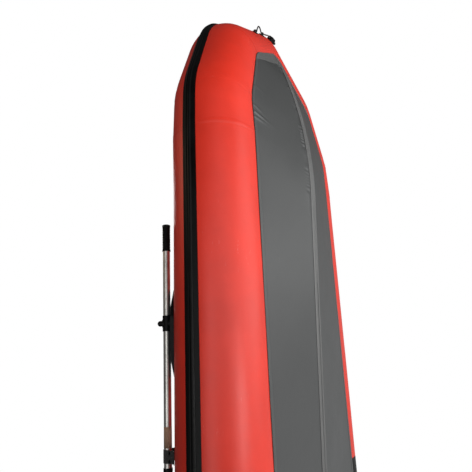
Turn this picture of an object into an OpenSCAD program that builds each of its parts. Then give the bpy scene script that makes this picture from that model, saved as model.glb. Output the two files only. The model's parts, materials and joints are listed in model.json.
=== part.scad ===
// Inflatable dinghy with a V bottom, mitred bow, slatted floor, two benches and two stowed oars.
// Millimetres. +X points to the bow, +Y to port, +Z up. The keel line rests on Z = 0.

/* [Air tubes] */
// Diameter of the side tubes
tube_d = 420; // [360:5:480]
// Width over both side tubes, without the rubbing strake
beam = 1540; // [1400:10:1800]
// Length of the parallel part of each side tube
straight_l = 2050; // [1900:10:2600]
// Angle at which the side tubes rise towards the bow, in degrees
sheer = 2.7; // [2:0.1:3.4]
// Length of the bow, from the end of the parallel part to the nose of the centre line
bow_l = 825; // [780:5:1000]
// Rise of the nose over the line of the side tubes
bow_rise = 39; // [10:1:90]
// How much slimmer the tube's radius is at the nose
nose_slim = 43; // [20:1:60]
// Length of each stern cone
cone_l = 230; // [180:5:300]
// Diameter of the stern cone's small end
cone_end_d = 150; // [110:5:190]

/* [Bottom] */
// Angle from the tube's lowest line to the bottom's edge, in degrees
edge_angle = 10.5; // [6:0.5:14]
// The same angle at the nose
nose_edge_angle = 5; // [2:0.5:9]
// Thickness of the bottom fabric
skin_t = 2; // [1:0.1:3]
// Half of the flat width of the keel ridge
ridge_half = 40; // [30:1:50]
// Thickness of the keel protector
strip_t = 4; // [2:0.5:8]
// Distance from the stern end of the tube to where the keel starts to rise
knee_x = 1855; // [1700:5:1900]
// Radius of the air keel at its stern end
air_keel_r_aft = 34; // [26:1:36]
// Radius of the air keel at its bow end
air_keel_r_fore = 69; // [50:1:71]

/* [Strake] */
// Width of the rubbing strake's flange
strake_w = 75; // [60:1:90]
// Height of the strake's middle rib over the tube
strake_rib_h = 14; // [8:1:20]
// Angle of the strake's middle over the tube's widest line, in degrees
strake_angle = 3; // [-5:1:10]

/* [Floor] */
// Height of the floor's top under the tube's centre line
floor_drop = 135; // [120:1:145]
// Thickness of a floorboard
board_t = 12; // [9:1:15]
// Length of one of the three square floorboards
board_l = 500; // [400:10:520]
// Length of the pointed bow board
bow_board_l = 520; // [400:10:560]
// Half width of the bow board's front edge
bow_board_half = 250; // [180:5:280]
// Height and width of the side stringers
stringer = [24, 16]; // [10:1:40]

/* [Transom] */
// Distance from the stern end of the tube to the transom's foot
transom_x = 225; // [150:5:300]
// Thickness of the transom board
transom_t = 30; // [22:1:40]
// Backward lean of the transom, in degrees
transom_rake = 8; // [4:1:14]
// Height of the motor cut-out over the keel line
motor_h = 395; // [370:1:410]
// Half width of the motor cut-out
motor_half = 190; // [150:5:220]
// Height of the transom's shoulders over the keel line
shoulder_h = 432; // [412:1:440]
// Hole radius for the towing U-bolts
tow_hole_r = 5; // [4:0.5:7]
// Radius of the drain bore through the transom
drain_r = 14; // [10:1:18]

/* [Benches] */
// Width of a bench along the boat
bench_w = 200; // [160:5:260]
// Thickness of a bench board
bench_t = 15; // [12:1:20]
// Distance from the stern end of the tube to the aft bench
aft_bench_x = 800; // [780:10:850]
// Distance from the stern end of the tube to the fore bench
fore_bench_x = 1450; // [1400:10:1500]
// Angle of the bench rails over the tube's inner widest line, in degrees
rail_angle = 50; // [44:1:54]
// Radius of the bench rail's bead
bead_r = 6; // [5:0.5:8]

/* [Oars] */
// Distance from the stern end of the tube to the oarlock
oarlock_x = 1157; // [1100:1:1160]
// Angle of the oarlock over the tube's outer widest line, in degrees
oarlock_angle = 66; // [60:1:72]
// Height of the shaft's axis over the tube
oar_axis_h = 39; // [38:1:45]
// Lean of the stowed oar, blade towards the tube, in degrees
oar_lean = 0.4; // [0.2:0.1:0.8]
// Diameter of the oar shaft
shaft_d = 34; // [28:1:34]
// Length of the oar from the oarlock to the end of the grip
oar_inboard_l = 469; // [400:1:480]
// Length of the grip
grip_l = 132; // [100:1:150]
// Distance from the oarlock to the joint between the shaft's halves
shaft_joint = 525; // [500:5:525]
// Length from the oarlock to the end of the blade
oar_outboard_l = 1070; // [1000:5:1120]
// Length and width of the blade
blade = [420, 160]; // [120:5:450]
// Radius of the oarlock pin
pin_r = 6; // [5:0.5:7]
// Length and width of the oarlock pad
pad = [393, 104]; // [90:1:400]
// Distance of the pad's middle aft of the oarlock
pad_aft = 42; // [0:1:60]
// Height of the oarlock pad over the tube
pad_h = 17; // [14:1:18]
// Distance from the oarlock to the middle of the stow strap
strap_x = 555; // [552:1:570]
// Width of the stow strap
strap_w = 52; // [40:1:60]

/* [Valves and handles] */
// Distance from the stern end of the tube to the side chamber valves
valve_x = 350; // [330:5:380]
// Angle of the side chamber valves over the tube's inner widest line, in degrees
valve_angle = 46; // [40:1:60]
// Outer radius of a valve's body
valve_r = 24; // [22:1:27]
// Outer radius of a valve's flange
flange_r = 33; // [30:1:36]
// Distance from the stern end of the tube to the aft and fore carry handles
handle_x = [520, 1900]; // [500:10:2000]
// Radius of a carry handle's bar
handle_r = 9; // [7:0.5:11]

/* [Hidden] */
$fn = 96;
tube_r = tube_d / 2;
half_span = (beam - tube_d) / 2;
bow_end = straight_l + bow_l;
nose_r = tube_r - nose_slim;
cap_t = 4;
cap_l = 42;
cap_depth = 26;
bulkhead_t = 2;
clear = 0.5;

// Corners of the bow's centre line, the nose last: share of the bow's length,
// share of the half span, share of the rise, share of the slimming.
BOW_CORNERS = [[0.25, 1, 0, 0.15], [0.7, 0.71, 0.62, 0.3], [1, 0, 1, 1]];
corner_cut = 60;
nose_cut = 40;

// The whole boat is centred on X = 0: from the strake at the nose to the ends of the cone caps.
tip_set_back = nose_cut / 2 * cos(atan2(half_span * BOW_CORNERS[1][1], bow_l * (1 - BOW_CORNERS[1][0])));
bow_reach = (bow_end - tip_set_back) * cos(sheer) - bow_rise * sin(sheer) + nose_r + strake_rib_h;
stern_reach = (cone_l + cap_l - cap_depth) * cos(sheer);
stern_x = (stern_reach - bow_reach) / 2;
stern_z = tube_r * cos(sheer);

RING_SIDES = 36;
CORNER_STEPS = 5;

skin_z = strip_t;
floor_top = -floor_drop;
floor_under = floor_top - board_t;
boards_x = transom_x + 70;
bow_board_x = boards_x + 3 * board_l;
stringer_out = half_span - sqrt(pow(tube_r, 2) - pow(floor_top + 6, 2)) - 4;
board_half = stringer_out - 3;
joiner_web = 4;

flange_t = 5;
rail_t = 2.5;
bead_rho = tube_r + rail_t + bead_r + 2;
bead_y = half_span - bead_rho * cos(rail_angle);
bead_z = bead_rho * sin(rail_angle);
bench_z = bead_z + 16;
bench_half = bead_y + 13;
hook_r = 12;
lug_half = 9.5;

shaft_r = shaft_d / 2;
shaft_wall = 1.5;
spigot_r = shaft_r - shaft_wall - 0.1;
spigot_l = 120;
pin_bore_r = pin_r + 0.06;
collar_r = shaft_r + 3;
collar_half = 35;
knob_r = 13;
knob_z = collar_r + 10.7;

flap_w = 40;
valve_sink = 3;
bow_valve_share = 0.32;

// Route of the bow rope from its starboard end to the nose, where it ends just past the bow eye.
// Each point is its distance from the centre plane along the tube's centre line, its angle over the
// tube's widest line and its height over the tube.
ROPE = [
    [206, -50, 10], [193, -50, 10], [175, -50, 10], [162, -48, 20], [149, -46, 32], [132, -45, 38],
    [115, -46, 32], [102, -48, 20], [89, -50, 10], [75, -50, 10], [62, -50, 10], [48, -51, 11],
    [34, -52, 12], [17, -52, 15.8], [0, -52, 12]
];
EYELETS = [184, 75];
rope_angle = -50;
eye_angle = -52;
rope_d = 8;

red = [0.85, 0.17, 0.11];
grey = [0.37, 0.38, 0.37];
black = [0.06, 0.06, 0.06];
metal = [0.78, 0.79, 0.8];
ply = [0.62, 0.47, 0.31];

// ---- frames ----

// A point of the tubes' frame, turned by the sheer into the boat's frame.
function in_boat(p) = [
    stern_x + p.x * cos(sheer) - p.z * sin(sheer),
    p.y,
    stern_z + p.x * sin(sheer) + p.z * cos(sheer)
];

// Children drawn in the tubes' frame: X along the tube from its stern end, Z = 0 on its centre line.
module on_tubes() translate([stern_x, 0, stern_z]) rotate([0, -sheer, 0]) children();

module both_sides() {
    children();
    mirror([0, 1, 0]) children();
}

// Children drawn on the starboard tube's skin: Z radial at an angle over the outer widest line.
module on_skin(x, angle, sink = 0)
    translate([x, -half_span, 0]) rotate([90 - angle, 0, 0]) translate([0, 0, tube_r - sink]) children();

module oarlock_frame() on_tubes() on_skin(oarlock_x, oarlock_angle) children();
module oar_frame() oarlock_frame() translate([0, 0, oar_axis_h]) rotate([0, -oar_lean, 0]) children();
module along_x(x0, l, r, r2 = undef) translate([x0, 0, 0]) rotate([0, 90, 0])
    cylinder(h = l, r1 = r, r2 = is_undef(r2) ? r : r2);

// ---- sweeps ----

function unit(v) = v / norm(v);
function flip(p) = [p.x, -p.y, p.z];

// Bow centre line: corner points with x, y, z and radius.
function bow_point(c) = [
    straight_l + bow_l * c[0],
    -half_span * c[1],
    bow_rise * c[2],
    tube_r - nose_slim * c[3]
];
function blend(a, b, t) = a + (b - a) * t;
function toward(a, b, d) = a + (b - a) * d / norm([b.x - a.x, b.y - a.y]);
function rounded(a, b, c) = let (p = toward(b, a, corner_cut), q = toward(b, c, corner_cut))
    [for (k = [0:CORNER_STEPS]) let (t = k / CORNER_STEPS)
        pow(1 - t, 2) * p + 2 * t * (1 - t) * b + t * t * q];

// The starboard centre line with its corners rounded, to the tip of the nose; the port one is its mirror.
half_line = let (
    a = bow_point([0, 1, 0, 0]),
    c = [for (s = BOW_CORNERS) bow_point(s)],
    first = rounded(a, c[0], c[1]),
    second = rounded(c[0], c[1], c[2]),
    into_nose = toward(c[2], c[1], nose_cut),
    out_of_nose = [into_nose.x, -into_nose.y, into_nose.z, into_nose[3]]
) concat(
    [a],
    first,
    [for (t = [0.33, 0.67]) blend(first[CORNER_STEPS], second[0], t)],
    second,
    [for (t = [0.25, 0.5, 0.75]) blend(second[CORNER_STEPS], into_nose, t)],
    [for (t = [0:0.125:0.5]) pow(1 - t, 2) * into_nose + 2 * t * (1 - t) * c[2] + t * t * out_of_nose]
);
line_n = len(half_line);

// One station: centre, outward direction, upward direction, radius.
function station_at(i) = let (
    p = half_line[i],
    a = i == 0 ? p - [1, 0, 0, 0] : half_line[i - 1],
    b = i == line_n - 1 ? [a.x, -a.y, a.z, a[3]] : half_line[i + 1],
    t = i == 0 ? [1, 0, 0] : unit([b.x - a.x, b.y - a.y, b.z - a.z]),
    out = unit(cross(t, [0, 0, 1])),
    up = cross(out, t)
) [[p.x, p.y, p.z], out, up, p[3]];
starboard_stations = [for (i = [0:line_n - 1]) station_at(i)];
port_stations = [for (i = [line_n - 2:-1:0]) let (s = starboard_stations[i])
    [flip(s[0]), flip(s[1]), flip(s[2]), s[3]]];
stations = concat(starboard_stations, port_stations);

// A point on a station's skin at an angle over the outer widest line, raised by h.
function on_station(s, angle, h = 0) = s[0] + (s[3] + h) * (cos(angle) * s[1] + sin(angle) * s[2]);

// The bottom's edge on a station.
function edge_on(s) = let (share = (s[0].x - straight_l) / bow_l)
    in_boat(on_station(s, -90 - blend(edge_angle, nose_edge_angle, share)));

// A point over the port half of the nose, at a distance of the centre line from the centre plane.
function over_nose(y, angle, h = 0) = let (
    rows = [for (s = starboard_stations) [-s[0].y, on_station(s, angle, h)]]
) flip([for (k = [0:2]) lookup(y, [for (r = rows) [r[0], r[1][k]]])]);

// Children drawn on the port half of the nose: X along it to port, Z away from the tube.
module on_nose(y, angle) {
    p = over_nose(y, angle);
    dir = unit(over_nose(y, angle, 10) - p);
    along = unit(cross(cross(dir, over_nose(y + 5, angle) - p), dir));
    side = cross(dir, along);
    multmatrix([
        [along.x, side.x, dir.x, p.x],
        [along.y, side.y, dir.y, p.y],
        [along.z, side.z, dir.z, p.z],
        [0, 0, 0, 1]
    ]) children();
}

// A closed tube through rings of equal length.
module ring_sweep(rings) {
    n = len(rings[0]);
    m = len(rings);
    polyhedron(
        points = [for (r = rings) each r],
        faces = concat(
            [[for (i = [0:n - 1]) i]],
            [for (j = [0:m - 2], i = [0:n - 1]) each let (
                a = j * n + i, b = j * n + (i + 1) % n, c = b + n, d = a + n
            ) [[a, d, c], [a, c, b]]],
            [[for (i = [n - 1:-1:0]) (m - 1) * n + i]]
        )
    );
}

// A closed slab between a lower and an upper grid of the same size.
module grid_slab(lower, upper) {
    k = len(lower[0]);
    m = len(lower);
    o = m * k;
    polyhedron(
        points = concat([for (r = lower) each r], [for (r = upper) each r]),
        faces = concat(
            [for (j = [0:m - 2], i = [0:k - 2]) each let (a = j * k + i, b = a + 1, c = b + k, d = a + k)
                [[a, b, c], [a, c, d], [o + a, o + c, o + b], [o + a, o + d, o + c]]],
            [for (i = [0:k - 2]) each let (a = i, b = i + 1) [[a, o + a, o + b], [a, o + b, b]]],
            [for (i = [0:k - 2]) each let (a = (m - 1) * k + i, b = a + 1)
                [[a, b, o + b], [a, o + b, o + a]]],
            [for (j = [0:m - 2]) each let (a = j * k, b = a + k) [[a, b, o + b], [a, o + b, o + a]]],
            [for (j = [0:m - 2]) each let (a = j * k + k - 1, b = a + k) [[a, o + a, o + b], [a, o + b, b]]]
        )
    );
}

// ---- air chambers ----

module valve_pocket() {
    translate([0, 0, -1]) cylinder(h = valve_sink + 20, r = flange_r + 0.2);
    translate([0, 0, -32]) cylinder(h = 32, r = valve_r);
    translate([0, 0, -48]) cylinder(h = 20, r = valve_r - 3);
}

module side_tube() color(red) on_tubes() difference() {
    translate([0, -half_span, 0]) along_x(0, straight_l - bulkhead_t, tube_r);
    on_skin(valve_x, 180 - valve_angle, valve_sink) valve_pocket();
}

module starboard_tube() side_tube();
module port_tube() mirror([0, 1, 0]) side_tube();

module bulkheads() color(red) on_tubes() both_sides()
    translate([0, -half_span, 0]) along_x(straight_l - bulkhead_t, bulkhead_t, tube_r - 1);

// Children drawn on the bow tube's inner top face, Z away from the tube.
module on_bow_valve() {
    s = starboard_stations[round(bow_valve_share * line_n)];
    dir = cos(180 - valve_angle) * s[1] + sin(180 - valve_angle) * s[2];
    fore = cross(s[2], s[1]);
    side = cross(dir, fore);
    p = s[0] + (s[3] - valve_sink) * dir;
    multmatrix([
        [fore.x, side.x, dir.x, p.x],
        [fore.y, side.y, dir.y, p.y],
        [fore.z, side.z, dir.z, p.z],
        [0, 0, 0, 1]
    ]) children();
}

module bow_tube() color(red) on_tubes() difference() {
    ring_sweep([for (s = stations) [for (i = [0:RING_SIDES - 1]) on_station(s, i * 360 / RING_SIDES)]]);
    on_bow_valve() valve_pocket();
}

module stern_cones() color(red) on_tubes() both_sides()
    translate([0, -half_span, 0]) along_x(-cone_l, cone_l, cone_end_d / 2, tube_r);

// A moulded cup over the cone's small end.
module cone_caps() color(black) on_tubes() both_sides() {
    slope = (tube_r - cone_end_d / 2) / cone_l;
    r0 = cone_end_d / 2;
    r1 = r0 + slope * cap_depth;
    w = cap_t / cos(atan(slope));
    translate([-cone_l, -half_span, 0]) rotate([0, 90, 0]) rotate_extrude() polygon([
        [r0, 0], [r1, cap_depth], [r1 + w, cap_depth], [r0 + w, 0],
        [r0 - 4, -12], [r0 - 22, -cap_l + cap_depth],
        [0, -cap_l + cap_depth], [0, 0]
    ]);
}

// ---- bottom ----

function knee() = in_boat([knee_x, 0, 0]).x;
nose_edge = edge_on(starboard_stations[line_n - 1]);
// Height of the ridge's underside: level aft of the knee, a parabola forward of it.
function ridge_z(x) = let (share = max(0, (x - knee()) / (nose_edge.x - knee())))
    skin_z + (nose_edge.z - skin_z - skin_t) * pow(share, 2);

straight_edge_xs = [transom_x - 20, 700, 1200, 1600, knee_x];
edge_points = concat(
    [for (x = straight_edge_xs) in_boat([
        x, -half_span + tube_r * sin(edge_angle), -tube_r * cos(edge_angle)])],
    [for (s = starboard_stations) let (p = edge_on(s)) if (p.y < -ridge_half - 8) p]
);

// Rows across the bottom's underside, one at each edge point, dropped by d.
function bottom_row(e, d) = let (x = e.x, z = ridge_z(x)) [
    [x, e.y, e.z - skin_t - d], [x, -ridge_half, z - d], [x, ridge_half, z - d], [x, -e.y, e.z - skin_t - d]
];

module bottom_skin() color(grey)
    grid_slab([for (e = edge_points) bottom_row(e, 0)], [for (e = edge_points) bottom_row(e, -skin_t)]);

tape_w = 22;
tape_t = 0.8;
function tape_row(e, d) = let (
    a = [e.x, e.y, e.z - skin_t],
    b = [e.x, -ridge_half, ridge_z(e.x)],
    c = a + unit(b - a) * min(tape_w, norm(b - a) * 0.5)
) [a - [0, 0, d], c - [0, 0, d]];
module hull_seam_tapes() color(grey) both_sides()
    grid_slab([for (e = edge_points) tape_row(e, tape_t)], [for (e = edge_points) tape_row(e, 0)]);

function strip_row(e, lows) = let (z = ridge_z(e.x), w = ridge_half - 2)
    [[e.x, -w, z - lows[0]], [e.x, -w * 0.6, z - lows[1]],
    [e.x, w * 0.6, z - lows[1]], [e.x, w, z - lows[0]]];
module keel_strip() color(grey)
    grid_slab([for (e = edge_points) strip_row(e, [0.6, strip_t])],
        [for (e = edge_points) strip_row(e, [0, 0])]);

air_keel_x = [330, knee_x - 60];
air_keel_l = air_keel_x[1] - air_keel_x[0];
air_keel_grow = asin((air_keel_r_fore - air_keel_r_aft) / air_keel_l);
air_keel_bottom = skin_z + skin_t + clear;

// One turned body: round ends joined by a straight taper, its underside level.
module air_keel() color(grey) difference() {
    translate([in_boat([air_keel_x[0], 0, 0]).x, 0, air_keel_bottom + air_keel_r_aft])
        rotate([0, 90 - air_keel_grow, 0]) rotate_extrude() polygon(concat(
            [for (a = [-90:7.5:0]) air_keel_r_aft * [cos(a), sin(a)]],
            [for (a = [0:7.5:90]) [0, air_keel_l] + air_keel_r_fore * [cos(a), sin(a)]]
        ));
    keel_valve_frame() valve_pocket();
}

// ---- floor ----

module board(x0, l) on_tubes() translate([x0, -board_half, floor_under]) cube([l, 2 * board_half, board_t]);

module stern_floorboard(i) board(boards_x + i * board_l + joiner_web / 2, board_l - joiner_web);

module board_stern() color(ply) difference() {
    stern_floorboard(0);
    keel_valve_frame() cylinder(h = 80, r = flange_r + 6);
}
module board_mid_aft() color(ply) stern_floorboard(1);
module board_mid_fore() color(ply) stern_floorboard(2);

module board_bow() color(ply) on_tubes() translate([0, 0, floor_under]) linear_extrude(board_t) {
    x = bow_board_x + joiner_web / 2;
    shoulder = straight_l - 40;
    polygon([
        [x, -board_half], [shoulder, -board_half], [x + bow_board_l, -bow_board_half],
        [x + bow_board_l, bow_board_half], [shoulder, board_half], [x, board_half]
    ]);
}

module floor_joiners() color(metal) on_tubes() for (i = [1:3])
    translate([boards_x + i * board_l, 0, floor_top - board_t / 2]) rotate([90, 0, 0])
        linear_extrude(2 * (board_half - 16), center = true) {
            square([joiner_web, board_t + 2], center = true);
            for (s = [-1, 1]) translate([0, s * (board_t / 2 + 1)]) square([34, 2], center = true);
        }

module floor_stringers() color(metal) on_tubes() both_sides()
    translate([boards_x + 30, -stringer_out, floor_top - board_t / 2]) rotate([90, 0, 90])
        linear_extrude(3 * board_l - 40) difference() {
            translate([0, -stringer[0] / 2]) square([stringer[1], stringer[0]]);
            translate([2.8, -board_t / 2 - 0.1]) square([stringer[1], board_t + 0.2]);
            translate([4.5, -stringer[0] / 2 + 2.5]) square([stringer[1], stringer[0] / 2 - board_t / 2 - 4]);
            translate([4.5, board_t / 2 + 1.5]) square([stringer[1], stringer[0] / 2 - board_t / 2 - 4]);
        }

// ---- transom ----

// Children drawn on the transom: X forward through the board, Y to port, Z up its face from the keel line.
module transom_frame() translate([in_boat([transom_x, 0, 0]).x, 0, 0])
    rotate([0, -transom_rake, 0]) children();
module through_transom(y, z) transom_frame() translate([0, y, z]) rotate([0, 90, 0]) children();

tow_eye_y = half_span - tube_r - 30;
tow_eye_z = [190, 250];
drain_at = [0, 62];

module transom() color(ply) difference() {
    transom_frame() rotate([90, 0, 90]) linear_extrude(transom_t) polygon([
        [0, skin_z + skin_t + 1.5], [half_span - 60, 21], [half_span - 60, shoulder_h],
        [motor_half + 70, shoulder_h], [motor_half, motor_h], [-motor_half, motor_h],
        [-motor_half - 70, shoulder_h], [-half_span + 60, shoulder_h], [-half_span + 60, 21]
    ]);
    on_tubes() both_sides() translate([0, -half_span, 0]) along_x(0, 700, tube_r + flange_t);
    for (y = [-tow_eye_y, tow_eye_y], z = tow_eye_z) through_transom(y, z) translate([0, 0, -5])
        cylinder(h = transom_t + 10, r = tow_hole_r);
    through_transom(drain_at.x, drain_at.y) translate([0, 0, -5])
        cylinder(h = transom_t + 10, r = drain_r + 2);
    for (p = screw_points) through_transom(p.x, p.y) translate([0, 0, -5])
        cylinder(h = transom_t + 10, r = 3);
}

// Moulded channels that hold the transom to the tubes.
module transom_flanges() color(black) on_tubes() both_sides() difference() {
    translate([0, -half_span, 0]) along_x(transom_x - 95, 190, tube_r + flange_t);
    translate([0, -half_span, 0]) along_x(transom_x - 100, 200, tube_r);
    translate([transom_x - 100, -half_span - tube_r - 10, -tube_r - 10])
        cube([200, tube_r + 70, 2 * tube_r + 20]);
    translate([transom_x - 100, -half_span, -tube_r - 10]) cube([200, tube_r + 10, tube_r - 145]);
    translate([transom_x - 100, -half_span, 180]) cube([200, tube_r + 10, tube_r]);
}

// Wear patches under the stern, wrapped round the lower inner quarter of each tube.
patch_t = 1.4;
module stern_patches() color(black) on_tubes() both_sides() difference() {
    translate([0, -half_span, 0]) along_x(120, transom_x + 25, tube_r + patch_t);
    translate([0, -half_span, 0]) along_x(110, transom_x + 45, tube_r);
    translate([110, -half_span - tube_r - 10, -tube_r - 10])
        cube([transom_x + 60, tube_r - 26, 2 * tube_r + 20]);
    translate([110, -half_span - tube_r - 10, -195]) cube([transom_x + 60, 2 * tube_r + 20, 2 * tube_r]);
    translate([110, -half_span + tube_r * sin(edge_angle) - 0.3, -tube_r - 10])
        cube([transom_x + 60, 200, 100]);
}

motor_plate = [280, 190, 5];
inner_plate = [250, 110, 8];
screw_points = [[-115, motor_h - 25], [115, motor_h - 25], [-115, motor_h - 90], [115, motor_h - 90]];

module plate(size, z_top) rotate([90, 0, 90]) linear_extrude(size[2]) difference() {
    translate([-size[0] / 2, z_top - size[1]]) square([size[0], size[1]]);
    for (p = screw_points) translate(p) circle(r = 3);
}
// Screw heads and nuts lie sunk in the plates, so that both faces are free for the motor's clamps.
head_h = 3.6;
head_r = 6.6;
nut_h = 5;
nut_r = 6;
module motor_plate_outer() color(black) difference() {
    transom_frame() translate([-motor_plate[2], 0, 0]) plate(motor_plate, motor_h - 6);
    for (p = screw_points) through_transom(p.x, p.y) translate([0, 0, -motor_plate[2] - 0.1])
        cylinder(h = head_h + 0.3, r1 = head_r + 0.4, r2 = 3);
}
module motor_plate_inner() color(black) difference() {
    transom_frame() translate([transom_t, 0, 0]) plate(inner_plate, motor_h - 6);
    for (p = screw_points) through_transom(p.x, p.y)
        translate([0, 0, transom_t + inner_plate[2] - nut_h - 0.4])
        cylinder(h = nut_h + 1, r = nut_r + 0.4);
}

module transom_screws() color(metal) for (p = screw_points) through_transom(p.x, p.y) {
    translate([0, 0, 0.2 - motor_plate[2]])
        cylinder(h = transom_t + motor_plate[2] + inner_plate[2] - 0.5, r = 3);
    translate([0, 0, 0.2 - motor_plate[2]]) cylinder(h = head_h, r1 = head_r, r2 = 3);
    translate([0, 0, transom_t + inner_plate[2] - nut_h - 0.3]) cylinder(h = nut_h, r = nut_r, $fn = 6);
}

// U-bolts: two legs through the transom and a bow behind it.
tow_leg = 26;
module tow_eyes() color(metal) for (y = [-tow_eye_y, tow_eye_y]) {
    r = tow_hole_r - 0.5;
    half = (tow_eye_z[1] - tow_eye_z[0]) / 2;
    for (z = tow_eye_z) through_transom(y, z) translate([0, 0, -tow_leg])
        cylinder(h = tow_leg + transom_t + 16, r = r);
    through_transom(y, (tow_eye_z[0] + tow_eye_z[1]) / 2) translate([0, 0, -tow_leg]) rotate([90, 0, 0])
        rotate([0, 0, 180]) rotate_extrude(angle = 180) translate([half, 0]) circle(r = r);
}
module tow_eye_nuts() color(metal) for (y = [-tow_eye_y, tow_eye_y]) {
    for (z = tow_eye_z) through_transom(y, z) translate([0, 0, transom_t + 3]) difference() {
        cylinder(h = 8, r = 9, $fn = 6);
        translate([0, 0, -1]) cylinder(h = 10, r = tow_hole_r - 0.5);
    }
    transom_frame() translate([transom_t, y - 14, tow_eye_z[0] - 16]) difference() {
        cube([3, 28, tow_eye_z[1] - tow_eye_z[0] + 32]);
        for (z = tow_eye_z) translate([-1, 14, z - tow_eye_z[0] + 16]) rotate([0, 90, 0])
            cylinder(h = 5, r = tow_hole_r);
    }
}

// Drain: a flanged bush through the transom, with a flap hinged over its outer mouth.
hinge_z = 25;
module drain_body() color(black) {
    through_transom(drain_at.x, drain_at.y) difference() {
        union() {
            translate([0, 0, -4]) cylinder(h = transom_t + 8, r = drain_r + 2);
            translate([0, 0, -4]) cylinder(h = 4, r = drain_r + 8);
            translate([0, 0, transom_t]) cylinder(h = 4, r = drain_r + 8);
        }
        translate([0, 0, -5]) cylinder(h = transom_t + 20, r = drain_r);
    }
    transom_frame() translate([-8, drain_at.x, drain_at.y + hinge_z]) rotate([90, 0, 0])
        cylinder(h = flap_w, r = 2, center = true);
    for (s = [-1, 1]) transom_frame()
        translate([-10, drain_at.x + s * (flap_w / 2) - 2, drain_at.y + hinge_z - 3])
        cube([10, 4, 6]);
}
module drain_flap() color(black) transom_frame()
    translate([-8, drain_at.x, drain_at.y + hinge_z]) difference() {
    union() {
        rotate([90, 0, 0]) cylinder(h = flap_w - 6, r = 3.7, center = true);
        translate([0.3, -17, -hinge_z - 22]) cube([3.4, 34, hinge_z + 22]);
    }
    rotate([90, 0, 0]) cylinder(h = flap_w, r = 2.06, center = true);
}

// ---- strake ----

// Across the strake: distance from its middle and height over the tube.
STRAKE_PROFILE = [[-1, 1.5], [-0.42, 2.6], [-0.32, 9], [-0.14, strake_rib_h], [0.12, strake_rib_h],
    [0.3, 9], [0.4, 2.6], [1, 1.5]];
strake_x0 = 30;
strake_stations = concat(
    [[[strake_x0, -half_span, 0], [0, -1, 0], [0, 0, 1], tube_r]],
    stations,
    [[[strake_x0, half_span, 0], [0, 1, 0], [0, 0, 1], tube_r]]
);
function strake_row(s, upper) = [for (p = STRAKE_PROFILE)
    on_station(s, strake_angle + p.x * strake_w / 2 / s[3] * 180 / PI, upper ? p.y : 0.5)];
module rub_strake() color(black) on_tubes()
    grid_slab([for (s = strake_stations) strake_row(s, true)],
        [for (s = strake_stations) strake_row(s, false)]);

// ---- oars ----

module oarlock_pad() color(black) difference() {
    oarlock_frame() translate([-pad_aft, 0, 0]) hull() {
        for (s = [-1, 1]) translate([s * (pad[0] / 2 - 28), 0, -16]) cylinder(h = 19, r = 28, $fn = 32);
        for (s = [-1, 1]) translate([s * 60, 0, -16]) cylinder(h = 28, r = pad[1] / 2, $fn = 32);
        for (s = [-1, 1]) translate([s * 105, 0, 0]) cylinder(h = pad_h, r = 24, $fn = 32);
    }
    on_tubes() translate([0, -half_span, 0]) along_x(0, 1900, tube_r);
    oar_frame() translate([0, 0, 4 - oar_axis_h]) cylinder(h = 60, r = pin_r);
}
module oarlock_pads() both_sides() oarlock_pad();

module oarlock_pins() color(metal) both_sides() oar_frame()
    translate([0, 0, 4 - oar_axis_h]) cylinder(h = oar_axis_h - 4 + knob_z, r = pin_r);

module oarlock_knobs() color(black) both_sides() oar_frame() difference() {
    union() {
        translate([0, 0, knob_z]) sphere(r = knob_r);
        translate([0, 0, knob_z - 9.5]) cylinder(h = 6, r = 11);
    }
    translate([0, 0, -20]) cylinder(h = 20 + knob_z, r = pin_r);
    translate([0, 0, knob_z - 30]) cylinder(h = 20, r = 30);
}

// The collar fits round the shaft and turns on the pin between the pad and the knob.
module oar_collar() color(black) oar_frame() difference() {
    union() {
        along_x(-collar_half, 2 * collar_half, collar_r);
        translate([0, 0, pad_h + 0.7 - oar_axis_h])
            cylinder(h = oar_axis_h - pad_h - 0.7 + knob_z - 10.4, r = 18);
    }
    along_x(-collar_half - 1, 2 * collar_half + 2, shaft_r);
    translate([0, 0, -40]) cylinder(h = 80, r = pin_bore_r);
}
module starboard_collar() oar_collar();
module port_collar() mirror([0, 1, 0]) oar_collar();

module oar_shaft() color(metal) oar_frame() difference() {
    along_x(-shaft_joint, shaft_joint + oar_inboard_l - 4, shaft_r);
    along_x(-shaft_joint - 1, shaft_joint + oar_inboard_l, shaft_r - shaft_wall);
    translate([0, 0, -40]) cylinder(h = 80, r = pin_bore_r);
}
module starboard_oar_shaft() oar_shaft();
module port_oar_shaft() mirror([0, 1, 0]) oar_shaft();

module oar_grip() color(black) oar_frame() difference() {
    union() {
        along_x(oar_inboard_l - grip_l, grip_l - 3, shaft_r + 2.4);
        along_x(oar_inboard_l - 3, 3, shaft_r + 2.4, shaft_r - 1);
    }
    along_x(oar_inboard_l - grip_l - 1, grip_l + 1 - 4, shaft_r);
}
module starboard_oar_grip() oar_grip();
module port_oar_grip() mirror([0, 1, 0]) oar_grip();

blade_root = oar_outboard_l - blade[0];
module blade_shaft() color(metal) oar_frame() difference() {
    union() {
        along_x(-blade_root - 30, blade_root + 30 - shaft_joint - clear, shaft_r);
        along_x(-shaft_joint - clear - 1, spigot_l, spigot_r);
    }
    along_x(-blade_root - 31, blade_root, spigot_r - shaft_wall);
}
module starboard_blade_shaft() blade_shaft();
module port_blade_shaft() mirror([0, 1, 0]) blade_shaft();

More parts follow.
